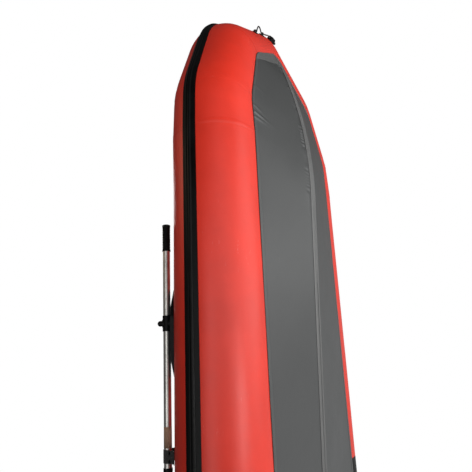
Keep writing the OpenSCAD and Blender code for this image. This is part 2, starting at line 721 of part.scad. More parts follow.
// A flat blade with rounded corners, a tapered spine and a socket for the shaft.
module oar_blade() color(black) oar_frame() difference() {
    union() {
        along_x(-blade_root - 30, 80, shaft_r + 3);
        translate([-oar_outboard_l, 0, -3]) linear_extrude(6) hull() {
            for (s = [-1, 1]) translate([30, s * (blade[1] / 2 - 30)]) circle(r = 30);
            for (s = [-1, 1]) translate([blade[0] * 0.45, s * (blade[1] / 2 - 22)]) circle(r = 22);
            translate([blade[0] + 10, 0]) circle(r = 16);
        }
        along_x(-oar_outboard_l + 60, blade[0] - 90, 5, shaft_r + 3);
    }
    along_x(-blade_root - 30, 120, shaft_r);
}
module starboard_oar_blade() oar_blade();
module port_oar_blade() mirror([0, 1, 0]) oar_blade();

// Stow strap: a patch on the tube and a band over the shaft.
strap_t = 3;
strap_foot = 44;
strap_axis_h = oar_axis_h - strap_x * sin(oar_lean);
module stow_strap() color(black) difference() {
    oarlock_frame() translate([-strap_x - strap_w / 2, 0, 0]) rotate([90, 0, 90])
        linear_extrude(strap_w) difference() {
        hull() {
            translate([0, strap_axis_h]) circle(r = shaft_r + 0.5 + strap_t);
            for (s = [-1, 1]) translate([s * strap_foot, -2]) circle(r = 2.6, $fn = 24);
        }
        hull() {
            translate([0, strap_axis_h]) circle(r = shaft_r + 0.5);
            for (s = [-1, 1]) translate([s * (strap_foot - 14), 2]) circle(r = 1, $fn = 24);
        }
    }
    on_tubes() translate([0, -half_span, 0]) along_x(0, 1900, tube_r + 0.1);
}
module starboard_strap() stow_strap();
module port_strap() mirror([0, 1, 0]) stow_strap();

// ---- benches ----

rail_x = [560, 1830];
module rail_frame() on_tubes() translate([0, -half_span, 0]) rotate([rail_angle - 90, 0, 0]) children();
rail_l = rail_x[1] - rail_x[0];
module bench_rails() color(black) both_sides() rail_frame() {
    difference() {
        intersection() {
            along_x(rail_x[0], rail_l, tube_r + rail_t);
            translate([rail_x[0] - 1, -24, 0]) cube([rail_l + 2, 48, tube_r + 10]);
        }
        along_x(rail_x[0] - 1, rail_l + 2, tube_r);
    }
    translate([rail_x[0], -2, tube_r + 1]) cube([rail_l, 4, bead_rho - tube_r - 1]);
    translate([0, 0, bead_rho]) along_x(rail_x[0], rail_l, bead_r);
}

module bench(x) color(ply) on_tubes() translate([x, 0, bench_z]) linear_extrude(bench_t) hull()
    for (i = [-1, 1], j = [-1, 1]) translate([i * (bench_w / 2 - 25), j * (bench_half - 25)]) circle(r = 25);
module fore_bench() bench(fore_bench_x);
module aft_bench() bench(aft_bench_x);

// Hooks under a bench, open towards the tube, that slide on the rail's bead.
hook_l = 50;
hook_gap = bead_rho - tube_r - rail_t - clear;
module bench_hooks(x) color(metal) on_tubes() both_sides() for (s = [-1, 1])
    translate([x + s * (bench_w / 2 - 40) - hook_l / 2, -bead_y, bead_z])
        rotate([90, 0, 90]) linear_extrude(hook_l)
        difference() {
            union() {
                circle(r = hook_r);
                translate([-lug_half, 0]) square([2 * lug_half, bench_z - bead_z]);
            }
            circle(r = bead_r + clear);
            rotate(rail_angle) translate([-30, -3.5]) square([30, 7]);
            rotate(rail_angle) translate([-30, -30]) square([30 - hook_gap, 60]);
        }
module fore_bench_hooks() bench_hooks(fore_bench_x);
module aft_bench_hooks() bench_hooks(aft_bench_x);

// ---- handles ----

handle_angle = 168;
handle_half = 62;
handle_h = 36;
module carry_handle(x) color(black) {
    on_tubes() difference() {
        on_skin(x, handle_angle) translate([-handle_half - 22, -26, -4]) cube([2 * handle_half + 44, 52, 7]);
        translate([0, -half_span, 0]) along_x(0, straight_l, tube_r);
    }
    on_tubes() on_skin(x, handle_angle) {
        for (s = [-1, 1]) translate([s * handle_half, 0, 2.8]) cylinder(h = handle_h - 2.8, r = handle_r);
        for (s = [-1, 1]) translate([s * handle_half, 0, handle_h]) sphere(r = handle_r);
        translate([0, 0, handle_h]) along_x(-handle_half, 2 * handle_half, handle_r);
    }
}
module carry_handles() both_sides() for (x = handle_x) carry_handle(x);

// ---- valves ----

keel_valve_x = boards_x + board_l * 0.55;
module keel_valve_frame() {
    share = (keel_valve_x - air_keel_x[0]) / air_keel_l;
    r = blend(air_keel_r_aft, air_keel_r_fore, share);
    translate([in_boat([keel_valve_x, 0, 0]).x, 0, air_keel_bottom + 2 * r - 8])
        rotate([0, -2 * air_keel_grow, 0])
        children();
}
module starboard_valve_place() on_tubes() on_skin(valve_x, 180 - valve_angle, valve_sink) children();
module port_valve_place() mirror([0, 1, 0]) starboard_valve_place() children();
module bow_valve_place() on_tubes() on_bow_valve() children();
module valve_places() {
    both_sides() starboard_valve_place() children();
    bow_valve_place() children();
    keel_valve_frame() children();
}

// The body is a flanged cup with a guide for the plunger's stem.
module valve_bodies() color(black) valve_places() rotate_extrude() polygon([
    [4.06, -30], [valve_r, -30], [valve_r, 0], [flange_r, 0], [flange_r, 3],
    [flange_r - 2, 5], [valve_r - 3, 5],
    [valve_r - 3, -27], [4.06, -27]
]);

module valve_cap() color(black) {
    rotate_extrude() polygon([
        [0, 5.4], [valve_r - 8, 5.4], [valve_r - 8, 0], [valve_r - 4, 0],
        [valve_r - 4, 5.4], [flange_r - 5, 5.4],
        [flange_r - 5, 11], [flange_r - 7, 13], [0, 13]
    ]);
    translate([-20, -3, 13]) cube([40, 6, 5]);
}
module starboard_valve_cap() starboard_valve_place() valve_cap();
module port_valve_cap() port_valve_place() valve_cap();
module bow_valve_cap() bow_valve_place() valve_cap();
module keel_valve_cap() keel_valve_frame() valve_cap();

// The plunger: a sealing disc under the body, a stem through the guide and a button on top.
module plunger() color(metal) rotate_extrude() polygon([
    [0, -34], [valve_r - 6, -34], [valve_r - 6, -30.6], [4, -30.6], [4, -12], [8, -12], [8, -8], [0, -7]
]);
module starboard_plunger() starboard_valve_place() plunger();
module port_plunger() port_valve_place() plunger();
module bow_plunger() bow_valve_place() plunger();
module keel_plunger() keel_valve_frame() plunger();

// ---- bow fittings ----

rope_hole_r = rope_d / 2 + 0.6;
rope_h = 10;

module bow_eyelets() color(black) on_tubes() mirror([0, 1, 0]) for (y = EYELETS) on_nose(y, rope_angle)
    difference() {
        union() {
            translate([0, 0, 1]) cylinder(h = 3, r = 18);
            translate([0, 0, rope_h]) sphere(r = 9);
            translate([0, 0, 1]) cylinder(h = rope_h - 1, r = 7);
        }
        translate([0, 0, rope_h]) rotate([0, 90, 0]) cylinder(h = 40, r = rope_hole_r, center = true);
    }

// A moulded towing eye that sits astride the fold of the nose.
eye_half = 22;
eye_h = 27;
eye_hole_r = rope_d / 2 + 3.8;
module bow_eye() color(black) on_tubes() on_nose(0, eye_angle) {
    a = over_nose(0, eye_angle);
    b = over_nose(eye_half / 3, eye_angle);
    dir = unit(over_nose(0, eye_angle, 10) - a);
    slope = abs((b - a) * dir / (b.y - a.y));
    difference() {
        rotate([90, 0, 0]) linear_extrude(36, center = true) polygon([
            [-eye_half, -eye_half * slope + 0.6], [0, 0.6], [eye_half, -eye_half * slope + 0.6],
            [eye_half, eye_h - 8], [eye_half - 6, eye_h], [-eye_half + 6, eye_h], [-eye_half, eye_h - 8]
        ]);
        translate([0, 0, ROPE[len(ROPE) - 1][2]]) rotate([0, 90, 0])
            cylinder(h = 3 * eye_half, r = eye_hole_r, center = true);
    }
}

rope_end = ROPE[len(ROPE) - 2];
rope_line = concat(
    [for (p = ROPE) flip(over_nose(p[0], p[1], p[2]))],
    [over_nose(rope_end[0], rope_end[1], rope_end[2])]
);
module bow_rope() color(black) on_tubes() {
    n = len(rope_line);
    ring_sweep([for (j = [0:n - 1]) let (
        t = unit(rope_line[min(j + 1, n - 1)] - rope_line[max(j - 1, 0)]),
        a = unit(cross(t, [0, 0, 1])),
        b = cross(a, t)
    ) [for (k = [0:7]) rope_line[j] + rope_d / 2 * (cos(k * 45) * a + sin(k * 45) * b)]]);
}

starboard_tube();
port_tube();
bow_tube();
bulkheads();
stern_cones();
cone_caps();
bottom_skin();
hull_seam_tapes();
air_keel();
keel_strip();
board_bow();
board_mid_fore();
board_mid_aft();
board_stern();
floor_joiners();
floor_stringers();
transom();
transom_flanges();
stern_patches();
motor_plate_outer();
motor_plate_inner();
transom_screws();
tow_eyes();
tow_eye_nuts();
drain_body();
drain_flap();
rub_strake();
oarlock_pads();
oarlock_pins();
oarlock_knobs();
starboard_collar();
port_collar();
starboard_oar_shaft();
port_oar_shaft();
starboard_oar_grip();
port_oar_grip();
starboard_blade_shaft();
port_blade_shaft();
starboard_oar_blade();
port_oar_blade();
starboard_strap();
port_strap();
bench_rails();
fore_bench();
aft_bench();
fore_bench_hooks();
aft_bench_hooks();
carry_handles();
valve_bodies();
starboard_valve_cap();
port_valve_cap();
bow_valve_cap();
keel_valve_cap();
starboard_plunger();
port_plunger();
bow_plunger();
keel_plunger();
bow_eyelets();
bow_eye();
bow_rope();
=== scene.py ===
"""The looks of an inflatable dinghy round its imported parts: chambers, bottom, strake, oars, rope."""

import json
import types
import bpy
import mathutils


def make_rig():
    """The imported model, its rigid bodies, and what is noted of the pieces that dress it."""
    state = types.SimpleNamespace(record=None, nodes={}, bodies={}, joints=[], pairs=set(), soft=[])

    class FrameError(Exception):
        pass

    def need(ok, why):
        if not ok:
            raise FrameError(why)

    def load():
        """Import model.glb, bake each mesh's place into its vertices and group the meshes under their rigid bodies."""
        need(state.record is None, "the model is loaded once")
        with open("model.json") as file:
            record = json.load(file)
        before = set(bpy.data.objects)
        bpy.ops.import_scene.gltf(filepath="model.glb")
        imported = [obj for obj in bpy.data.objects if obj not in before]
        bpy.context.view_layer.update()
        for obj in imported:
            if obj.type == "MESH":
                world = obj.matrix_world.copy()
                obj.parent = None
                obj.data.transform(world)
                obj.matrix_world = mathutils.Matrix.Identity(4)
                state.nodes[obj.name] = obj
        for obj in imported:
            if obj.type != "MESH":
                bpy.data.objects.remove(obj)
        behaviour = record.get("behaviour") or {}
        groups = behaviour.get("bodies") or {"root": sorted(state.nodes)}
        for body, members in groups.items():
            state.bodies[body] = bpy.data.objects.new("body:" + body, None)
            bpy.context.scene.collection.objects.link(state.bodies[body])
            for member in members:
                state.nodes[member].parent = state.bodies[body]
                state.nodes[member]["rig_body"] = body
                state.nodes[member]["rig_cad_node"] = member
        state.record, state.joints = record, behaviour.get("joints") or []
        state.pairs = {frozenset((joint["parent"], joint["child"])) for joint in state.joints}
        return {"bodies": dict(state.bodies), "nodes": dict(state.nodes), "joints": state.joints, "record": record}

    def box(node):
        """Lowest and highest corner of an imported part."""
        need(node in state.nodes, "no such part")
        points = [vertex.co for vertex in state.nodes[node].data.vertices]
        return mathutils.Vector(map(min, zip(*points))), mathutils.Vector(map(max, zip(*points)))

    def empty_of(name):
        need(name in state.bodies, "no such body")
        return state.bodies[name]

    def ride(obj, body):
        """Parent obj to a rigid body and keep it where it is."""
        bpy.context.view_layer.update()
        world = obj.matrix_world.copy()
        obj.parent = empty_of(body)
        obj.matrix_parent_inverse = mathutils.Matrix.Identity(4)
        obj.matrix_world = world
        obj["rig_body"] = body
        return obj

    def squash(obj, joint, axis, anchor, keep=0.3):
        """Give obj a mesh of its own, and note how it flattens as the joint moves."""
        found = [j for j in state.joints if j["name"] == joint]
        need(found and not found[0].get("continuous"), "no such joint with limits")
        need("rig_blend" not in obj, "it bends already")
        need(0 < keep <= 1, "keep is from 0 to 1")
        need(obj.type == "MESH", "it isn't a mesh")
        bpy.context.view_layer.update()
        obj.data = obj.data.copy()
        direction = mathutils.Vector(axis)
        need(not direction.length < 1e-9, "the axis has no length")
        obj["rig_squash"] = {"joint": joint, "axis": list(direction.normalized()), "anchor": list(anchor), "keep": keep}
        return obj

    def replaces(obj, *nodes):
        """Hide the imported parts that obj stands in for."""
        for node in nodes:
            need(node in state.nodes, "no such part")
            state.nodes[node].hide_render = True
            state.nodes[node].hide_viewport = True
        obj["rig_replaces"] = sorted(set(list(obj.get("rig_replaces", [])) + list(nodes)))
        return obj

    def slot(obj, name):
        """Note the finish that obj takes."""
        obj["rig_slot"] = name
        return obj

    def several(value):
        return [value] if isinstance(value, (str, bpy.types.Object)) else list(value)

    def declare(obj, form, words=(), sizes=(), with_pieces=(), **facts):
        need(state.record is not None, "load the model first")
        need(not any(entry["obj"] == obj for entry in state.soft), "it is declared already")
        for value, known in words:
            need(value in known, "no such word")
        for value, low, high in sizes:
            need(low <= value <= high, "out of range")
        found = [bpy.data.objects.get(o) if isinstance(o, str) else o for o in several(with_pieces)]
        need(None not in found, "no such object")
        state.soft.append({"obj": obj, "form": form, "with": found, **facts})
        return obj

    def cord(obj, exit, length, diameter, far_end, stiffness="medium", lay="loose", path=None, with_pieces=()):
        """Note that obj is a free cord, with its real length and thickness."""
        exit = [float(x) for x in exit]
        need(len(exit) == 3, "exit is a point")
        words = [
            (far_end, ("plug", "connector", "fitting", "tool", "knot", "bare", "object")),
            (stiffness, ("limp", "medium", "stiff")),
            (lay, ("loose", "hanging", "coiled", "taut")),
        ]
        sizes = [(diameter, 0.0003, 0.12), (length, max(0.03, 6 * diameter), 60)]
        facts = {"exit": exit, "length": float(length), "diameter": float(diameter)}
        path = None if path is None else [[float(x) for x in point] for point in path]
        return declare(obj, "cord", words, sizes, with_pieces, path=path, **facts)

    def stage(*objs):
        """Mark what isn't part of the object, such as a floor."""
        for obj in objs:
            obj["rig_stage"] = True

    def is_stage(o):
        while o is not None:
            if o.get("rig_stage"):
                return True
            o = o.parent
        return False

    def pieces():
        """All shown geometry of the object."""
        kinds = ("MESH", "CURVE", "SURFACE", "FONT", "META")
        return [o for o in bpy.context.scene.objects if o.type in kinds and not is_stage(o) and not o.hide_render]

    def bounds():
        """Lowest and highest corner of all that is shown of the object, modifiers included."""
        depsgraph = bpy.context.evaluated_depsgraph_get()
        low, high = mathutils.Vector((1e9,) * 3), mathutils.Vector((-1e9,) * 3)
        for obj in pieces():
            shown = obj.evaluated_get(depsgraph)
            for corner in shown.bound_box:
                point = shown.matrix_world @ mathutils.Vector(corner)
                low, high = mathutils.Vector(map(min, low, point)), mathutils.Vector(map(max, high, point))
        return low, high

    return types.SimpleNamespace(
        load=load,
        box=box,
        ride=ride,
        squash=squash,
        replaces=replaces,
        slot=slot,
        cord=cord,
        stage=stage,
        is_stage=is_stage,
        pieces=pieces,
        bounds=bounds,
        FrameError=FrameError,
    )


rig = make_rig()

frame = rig.load()

import json
import math

import bpy
import numpy as np
from mathutils import Matrix, Vector

bl_info = {
    "name": "Inflatable dinghy",
    "version": (1, 0, 0),
    "blender": (4, 5, 0),
    "location": "View3D > Sidebar > Dinghy",
    "description": "Builds the fabric, rubber, rope and finishes of an inflatable dinghy round its frame",
    "category": "Object",
}

CAD_BOX = [list(corner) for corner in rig.bounds()]
JOINTS = {joint["name"]: joint for joint in frame["joints"]}
SIZE_FILE = "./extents.json"
PLY_T = 0.0032

# ---- the hull's own frame: X along the side tubes from their stern ends, Z = 0 on their centre lines ----

BULKHEAD = 0.002
COS, SIN = JOINTS["fore_bench_slide"]["axis"][0], JOINTS["fore_bench_slide"]["axis"][2]
TUBE_LOW, TUBE_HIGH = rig.box("starboard_tube")
TUBE_R = (TUBE_HIGH.y - TUBE_LOW.y) / 2
SPAN = -(TUBE_HIGH.y + TUBE_LOW.y) / 2
STERN = np.array([TUBE_LOW.x + TUBE_R * SIN, 0.0, TUBE_LOW.z + TUBE_R * COS])
STRAIGHT_L = (TUBE_HIGH.x - STERN[0] - TUBE_R * SIN) / COS + BULKHEAD
# Corners of the bow's centre line: share of the bow's length, of the half span, of the rise, of the slimming.
BOW_CORNERS = np.array([[0, 1, 0, 0], [0.25, 1, 0, 0.15], [0.7, 0.71, 0.62, 0.3], [1, 0, 1, 1]])
# The bow rope's route: distance from the centre plane, angle round the tube, height over the tube.
ROPE = np.array([
    [206, -50, 10], [193, -50, 10], [175, -50, 10], [162, -48, 20], [149, -46, 32], [132, -45, 38],
    [115, -46, 32], [102, -48, 20], [89, -50, 10], [75, -50, 10], [62, -50, 10], [48, -51, 11],
    [34, -52, 12], [17, -52, 15.8], [0, -52, 12],
], float)


def in_boat(points):
    """Turns points of the hull's frame by the sheer and moves them to the stern: the boat's frame."""
    p = np.asarray(points, float)
    x = STERN[0] + p[..., 0] * COS - p[..., 2] * SIN
    z = STERN[2] + p[..., 0] * SIN + p[..., 2] * COS
    return np.stack([x, p[..., 1], z], -1)


def mirrored(points):
    """The same points on the other side of the centre plane."""
    return np.asarray(points) * np.array([1.0, -1.0, 1.0])


def unit(v):
    """Vectors scaled to length one."""
    v = np.asarray(v, float)
    return v / np.linalg.norm(v, axis=-1, keepdims=True)


def smooth(t):
    """An S-shaped step from 0 to 1."""
    t = np.clip(t, 0, 1)
    return t * t * (3 - 2 * t)


# ---- settings ----


def length(name, default, description):
    """A length in metres."""
    return bpy.props.FloatProperty(
        name=name, default=default, description=description, unit="LENGTH", min=0.0, soft_max=3.0,
        precision=4)


def colour(name, default, description):
    """A colour, as linear red, green and blue."""
    return bpy.props.FloatVectorProperty(
        name=name, default=default, description=description, subtype="COLOR", size=3, min=0.0, max=1.0)


def number(name, default, description):
    """A plain number."""
    return bpy.props.FloatProperty(name=name, default=default, description=description)


class DinghySizes(bpy.types.PropertyGroup):
    """Sizes of the soft pieces, in metres and degrees."""

    bow_l: length("Bow length", 0.825, "From the end of the parallel tubes to the nose of the centre line")
    bow_rise: length("Bow rise", 0.039, "Rise of the nose over the line of the side tubes")
    nose_slim: length("Nose slimming", 0.043, "How much slimmer the tube's radius is at the nose")
    corner_cut: length("Corner rounding", 0.06, "Length cut from each side of a corner of the bow")
    nose_cut: length("Nose rounding", 0.04, "Length cut from each side of the nose")
    cone_l: length("Cone length", 0.23, "Length of a stern cone")
    cone_end_r: length("Cone end radius", 0.075, "Radius of a stern cone's small end")
    band_w: length("Seam band width", 0.026, "Width of the bands glued over the chambers' seams")
    front_band_w: length("Front band width", 0.095, "Width of the grey band at the bottom's front end")
    band_t: length("Seam band thickness", 0.0004, "Thickness of the seam bands")
    pucker: length("Pucker height", 0.0008, "Height of the fabric's puckers beside a seam")
    strake_w: length("Strake width", 0.075, "Width of the rubbing strake's flange")
    strake_h: length("Strake height", 0.014, "Height of the strake's middle rib")
    strake_angle: number("Strake angle", 3.0, "Angle of the strake's middle over the tube's widest line")
    edge_angle: number("Bottom edge angle", 10.5, "Angle of the bottom's edge past the tube's lowest line")
    nose_edge_angle: number("Nose edge angle", 5.0, "The same angle at the nose")
    skin_t: length("Bottom thickness", 0.002, "Thickness of the bottom fabric")
    ridge_half: length("Ridge half width", 0.04, "Half of the keel ridge's flat width")
    strip_t: length("Keel protector thickness", 0.004, "Thickness of the keel protector")
    tape_w: length("Tape width", 0.022, "Width of the tape along the bottom's edges")
    rope_d: length("Rope diameter", 0.008, "Diameter of the bow rope")
    shaft_d: length("Shaft diameter", 0.034, "Diameter of an oar's shaft")
    grip_l: length("Grip length", 0.132, "Length of an oar's grip")
    shaft_tape_l: length("Shaft tape length", 0.085, "Length of the tape round an oar's upper shaft")
    blade_l: length("Blade length", 0.42, "Length of an oar's blade")
    blade_w: length("Blade width", 0.16, "Width of an oar's blade")
    strap_x: length("Strap place", 0.555, "From the oarlock to the middle of the stow strap")
    strap_w: length("Strap width", 0.052, "Width of the stow strap")


class DinghyColours(bpy.types.PropertyGroup):
    """Colours of the materials, linear."""

    tube: colour("Chambers", (0.84, 0.034, 0.014), "Coated fabric of the air chambers")
    bottom: colour("Bottom", (0.04, 0.042, 0.041), "Coated fabric of the bottom")
    tape: colour("Bottom tape", (0.055, 0.057, 0.056), "Tape along the bottom's edges")
    patch: colour("Bottom patches", (0.12, 0.12, 0.117), "Front band and keel protector")
    black: colour("Black rubber", (0.0016, 0.0016, 0.0016), "Strake, patches, handles and caps")
    moulded: colour("Black moulding", (0.0024, 0.0024, 0.0027), "Moulded fittings")
    metal: colour("Alloy", (0.72, 0.7, 0.66), "Oar shafts and floor profiles")
    steel: colour("Stainless steel", (0.6, 0.6, 0.6), "Pins, bolts and nuts")
    ply: colour("Plywood", (0.36, 0.2, 0.09), "Floorboards, benches and transom")
    ply_dark: colour("Plywood grain", (0.17, 0.08, 0.03), "Dark lines of the plywood's grain")
    label: colour("Shaft tape", (0.3, 0.19, 0.13), "Plain tape round the oar shafts")
    floor: colour("Floor", (0.86, 0.86, 0.85), "The plain floor under the boat")


class DinghyLight(bpy.types.PropertyGroup):
    """Camera and lights."""

    camera_x: length("Camera place along", 1.0898, "Camera's distance forward of the tubes' stern ends")
    camera_side: length("Camera place aside", 2.245, "Camera's distance to starboard of the centre plane")
    camera_drop: length("Camera depth", 0.8046, "Camera's depth under the keel line")
    aim_x: length("Aim along", 1.6907, "Aim point's distance forward of the tubes' stern ends")
    aim_z: length("Aim height", 0.5127, "Aim point's height over the keel line")
    lens: number("Lens", 32.98, "Focal length for a 36 mm sensor")
    key_power: number("Key light", 60.0, "Power of the large soft light, in watts")
    front_power: number("Front light", 46.0, "Power of the light behind the camera, for shading only")
    sheen_power: number("Sheen light", 20.0, "Power of the small light under the stern, for reflections only")
    strip_power: number("Strip light", 14.0, "Power of the tall light beside the camera, for gloss only")
    fill_power: number("Fill light", 7.0, "Power of the warm light on the other side, in watts")
    top_power: number("Top light", 110.0, "Power of the overhead light, in watts")
    ambient_low: number("Ambient, dark side", 0.08, "Strength of the soft light on the dark side")
    ambient_high: number("Ambient, bright side", 0.75, "Strength of the soft light on the bright side")


def sizes():
    """The size settings."""
    return bpy.context.scene.dinghy_sizes


def colours():
    """The colour settings."""
    return bpy.context.scene.dinghy_colours


# ---- surfaces ----


class Surface:
    """Collects grids of points into one mesh, with a UV map in metres along and across each grid."""

    def __init__(self):
        self.points, self.faces, self.uvs = [], [], []
        self.count = 0

    def add(self, points, ring=False, ends=False, facing=None):
        """Adds a grid. A ring closes its second direction, and ends close it with a fan of triangles.
        Faces point away from the ring's middle, or along facing on an open sheet."""
        p = np.asarray(points, float)
        rows, columns = p.shape[:2]
        i, j = np.meshgrid(np.arange(rows - 1), np.arange(columns if ring else columns - 1), indexing="ij")
        nj = (j + 1) % columns
        row, next_row = i * columns, (i + 1) * columns
        quads = np.stack([row + j, next_row + j, next_row + nj, row + nj], -1)
        step_u = np.linalg.norm(np.diff(p, axis=0), axis=-1).mean(1)
        wrapped = np.concatenate([p, p[:, :1]], 1)
        step_v = np.linalg.norm(np.diff(wrapped, axis=1), axis=-1).mean(0)
        u = np.concatenate([[0], np.cumsum(step_u)])
        v = np.concatenate([[0], np.cumsum(step_v)])
        uv = np.stack([np.stack([u[i], v[j]], -1), np.stack([u[i + 1], v[j]], -1),
                       np.stack([u[i + 1], v[j + 1]], -1), np.stack([u[i], v[j + 1]], -1)], -2)
        flat = p.reshape(-1, 3)
        quads, uv = quads.reshape(-1, 4), uv.reshape(-1, 4, 2)
        corner = flat[quads]
        normal = np.cross(corner[:, 2] - corner[:, 0], corner[:, 3] - corner[:, 1])
        outward = (p - p.mean(1, keepdims=True)).reshape(-1, 3)[quads[:, 0]]
        away = outward if facing is None else np.array(facing)
        turned = (normal * away).sum() < 0
        faces, loops = quads.tolist(), uv.reshape(-1, 4, 2).tolist()
        if ends:
            for row, first in ((0, True), (rows - 1, False)):
                centre = len(flat)
                flat = np.concatenate([flat, p[row].mean(0, keepdims=True)])
                ids = row * columns + np.arange(columns)
                after = np.roll(ids, -1)
                triangles = np.stack([np.full(columns, centre), ids, after] if first else
                                     [np.full(columns, centre), after, ids], -1)
                faces += triangles.tolist()
                loops += [[[u[row], 0.0], [u[row], a], [u[row], b]] for a, b in zip(v[:-1], v[1:])]
        if turned:
            faces = [face[::-1] for face in faces]
            loops = [loop[::-1] for loop in loops]
        self.faces += [[k + self.count for k in face] for face in faces]
        self.uvs += loops
        self.points.append(flat)
        self.count += len(flat)
        return self

    def both(self, points, ring=False, ends=False, facing=None):
        """Adds a grid and its mirror image."""
        self.add(points, ring, ends, facing)
        return self.add(mirrored(points), ring, ends, None if facing is None else mirrored(facing))

    def build(self, name, material, body="hull", slot=None, replaces=(), thickness=0.0, flat=False):
        """Makes the object, gives it its finish and lets it ride on its body. A thickness goes inwards."""
        mesh = bpy.data.meshes.new(name)
        mesh.from_pydata(np.concatenate(self.points).tolist(), [], self.faces)
        uv_map = mesh.uv_layers.new(name="metres")
        uv_map.data.foreach_set("uv", np.array([c for loop in self.uvs for c in loop], np.float32).ravel())
        mesh.polygons.foreach_set("use_smooth", np.full(len(mesh.polygons), not flat))
        mesh.update()
        piece = bpy.data.objects.new(name, mesh)
        bpy.context.scene.collection.objects.link(piece)
        mesh.materials.append(material)
        if thickness:
            wall = piece.modifiers.new("thickness", "SOLIDIFY")
            wall.thickness, wall.offset, wall.use_even_offset = thickness, -1.0, True
        if body:
            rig.ride(piece, body)
        if slot:
            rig.slot(piece, slot)
        if replaces:
            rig.replaces(piece, *replaces)
        return piece


def bezier(a, b, c, t):
    """A curve from a towards b to c: each point mixes the three by (1-t)^2, 2t(1-t) and t^2."""
    t = np.asarray(t, float)[:, None]
    return (1 - t) ** 2 * a + 2 * t * (1 - t) * b + t * t * c


def bow_line(steps=9, straight_steps=12):
    """Centre line and radius of the starboard half of the bow, to the nose: straight stretches between
    corners that are rounded by a bezier. Rows of x, y, z, radius."""
    s = sizes()
    shares = BOW_CORNERS
    c = np.stack([STRAIGHT_L + s.bow_l * shares[:, 0], -SPAN * shares[:, 1],
                  s.bow_rise * shares[:, 2], TUBE_R - s.nose_slim * shares[:, 3]], -1)

    def toward(a, b, distance):
        return a + (b - a) * distance / np.linalg.norm((b - a)[:2])

    rows, last = [], c[0]
    for k in (1, 2):
        start, end = toward(c[k], c[k - 1], s.corner_cut), toward(c[k], c[k + 1], s.corner_cut)
        rows.append(last + (start - last) * np.linspace(0, 1, straight_steps, endpoint=False)[:, None])
        rows.append(bezier(start, c[k], end, np.linspace(0, 1, steps, endpoint=False)))
        last = end
    start = toward(c[3], c[2], s.nose_cut)
    end = start * np.array([1, -1, 1, 1])
    rows.append(last + (start - last) * np.linspace(0, 1, 2 * straight_steps, endpoint=False)[:, None])
    rows.append(bezier(start, c[3], end, np.linspace(0, 0.5, steps)))
    return np.concatenate(rows)


def stations(line):
    """Centre, outward direction, upward direction and radius along a centre line. The outward direction is
    level and square to the line; the upward one is square to both."""
    centre, radius = line[:, :3], line[:, 3]
    tangent = unit(np.gradient(centre, axis=0))
    out = unit(np.cross(tangent, [0, 0, 1.0]))
    return centre, out, np.cross(out, tangent), radius


def hull_line(stern=0.0, straight_steps=60):
    """The whole centre line: starboard tube from its stern, round the nose, and back along the port tube."""
    half = bow_line()
    x = np.linspace(stern, STRAIGHT_L, straight_steps, endpoint=False)
    straight = np.stack([x, np.full_like(x, -SPAN), 0 * x, np.full_like(x, TUBE_R)], -1)
    half = np.concatenate([straight, half])
    return np.concatenate([half, half[-2::-1] * np.array([1, -1, 1, 1])])


def over_tube(line, degrees, height=0.0):
    """Points round the stations of a centre line, at angles over the widest line and heights over the skin:
    centre + (radius + height) * (cos * outward + sin * upward). One row per station."""
    centre, out, up, radius = stations(line)
    a = np.radians(np.asarray(degrees, float))
    a = np.broadcast_to(a, (len(line),) + a.shape[-1:])
    reach = radius[:, None] + height
    return (centre[:, None] + (reach * np.cos(a))[..., None] * out[:, None]
            + (reach * np.sin(a))[..., None] * up[:, None])


def puckers(line, degrees, seams):
    """Radial relief of the inflated fabric: long low swells, and short waves that die out beside each seam,
    stronger on the inner side where the fabric is in excess."""
    arc = np.concatenate([[0], np.cumsum(np.linalg.norm(np.diff(line[:, :3], axis=0), axis=1))])
    a = np.radians(np.asarray(degrees, float))[None, :]
    s = arc[:, None]
    inner = 0.55 - 0.45 * np.cos(a)
    relief = 0.0004 * np.sin(3 * a + 5.1 * s) + 0.0003 * np.sin(5 * a - 8.3 * s + 1.7)
    for k, seam in enumerate(seams):
        gap = np.abs(s - seam)
        waves = np.sin(19 * a + 2.1 * k + 9 * gap) + 0.6 * np.sin(31 * a + 1.3 * k - 14 * gap)
        relief = relief + sizes().pucker * inner * np.exp(-gap / 0.035) * waves * smooth(gap / 0.02)
    return relief


# ---- shader nodes ----


def put(tree, kind, inputs=None, **settings):
    """Adds a node, sets its properties and fills its inputs with values or links them to outputs."""
    made = tree.nodes.new(kind)
    for key, value in settings.items():
        setattr(made, key, value)
    for key, value in (inputs or {}).items():
        if isinstance(value, bpy.types.NodeSocket):
            tree.links.new(value, made.inputs[key])
        else:
            made.inputs[key].default_value = value
    return made


def mathed(tree, operation, a, b=0.0, clamp=False):
    """One math step."""
    return put(tree, "ShaderNodeMath", {0: a, 1: b}, operation=operation, use_clamp=clamp).outputs[0]


def ramped(tree, value, low, high, out_low=0.0, out_high=1.0):
    """A value moved from one range to another and clamped."""
    made = put(tree, "ShaderNodeMapRange", {"Value": value, "From Min": low, "From Max": high,
                                            "To Min": out_low, "To Max": out_high})
    return made.outputs["Result"]


def mixed(tree, share, a, b, blend="MIX"):
    """Two colours mixed."""
    made = put(tree, "ShaderNodeMix", data_type="RGBA", blend_type=blend)
    for socket, value in ((made.inputs[0], share), (made.inputs[6], a), (made.inputs[7], b)):
        if isinstance(value, bpy.types.NodeSocket):
            tree.links.new(value, socket)
        else:
            socket.default_value = value if isinstance(value, float) else (*value[:3], 1.0)
    return made.outputs[2]


def noise(tree, vector, scale, detail=3.0, roughness=0.55):
    """Smooth noise from 0 to 1."""
    made = put(tree, "ShaderNodeTexNoise", {"Vector": vector, "Scale": scale, "Detail": detail,
                                            "Roughness": roughness})
    return made.outputs["Fac"]


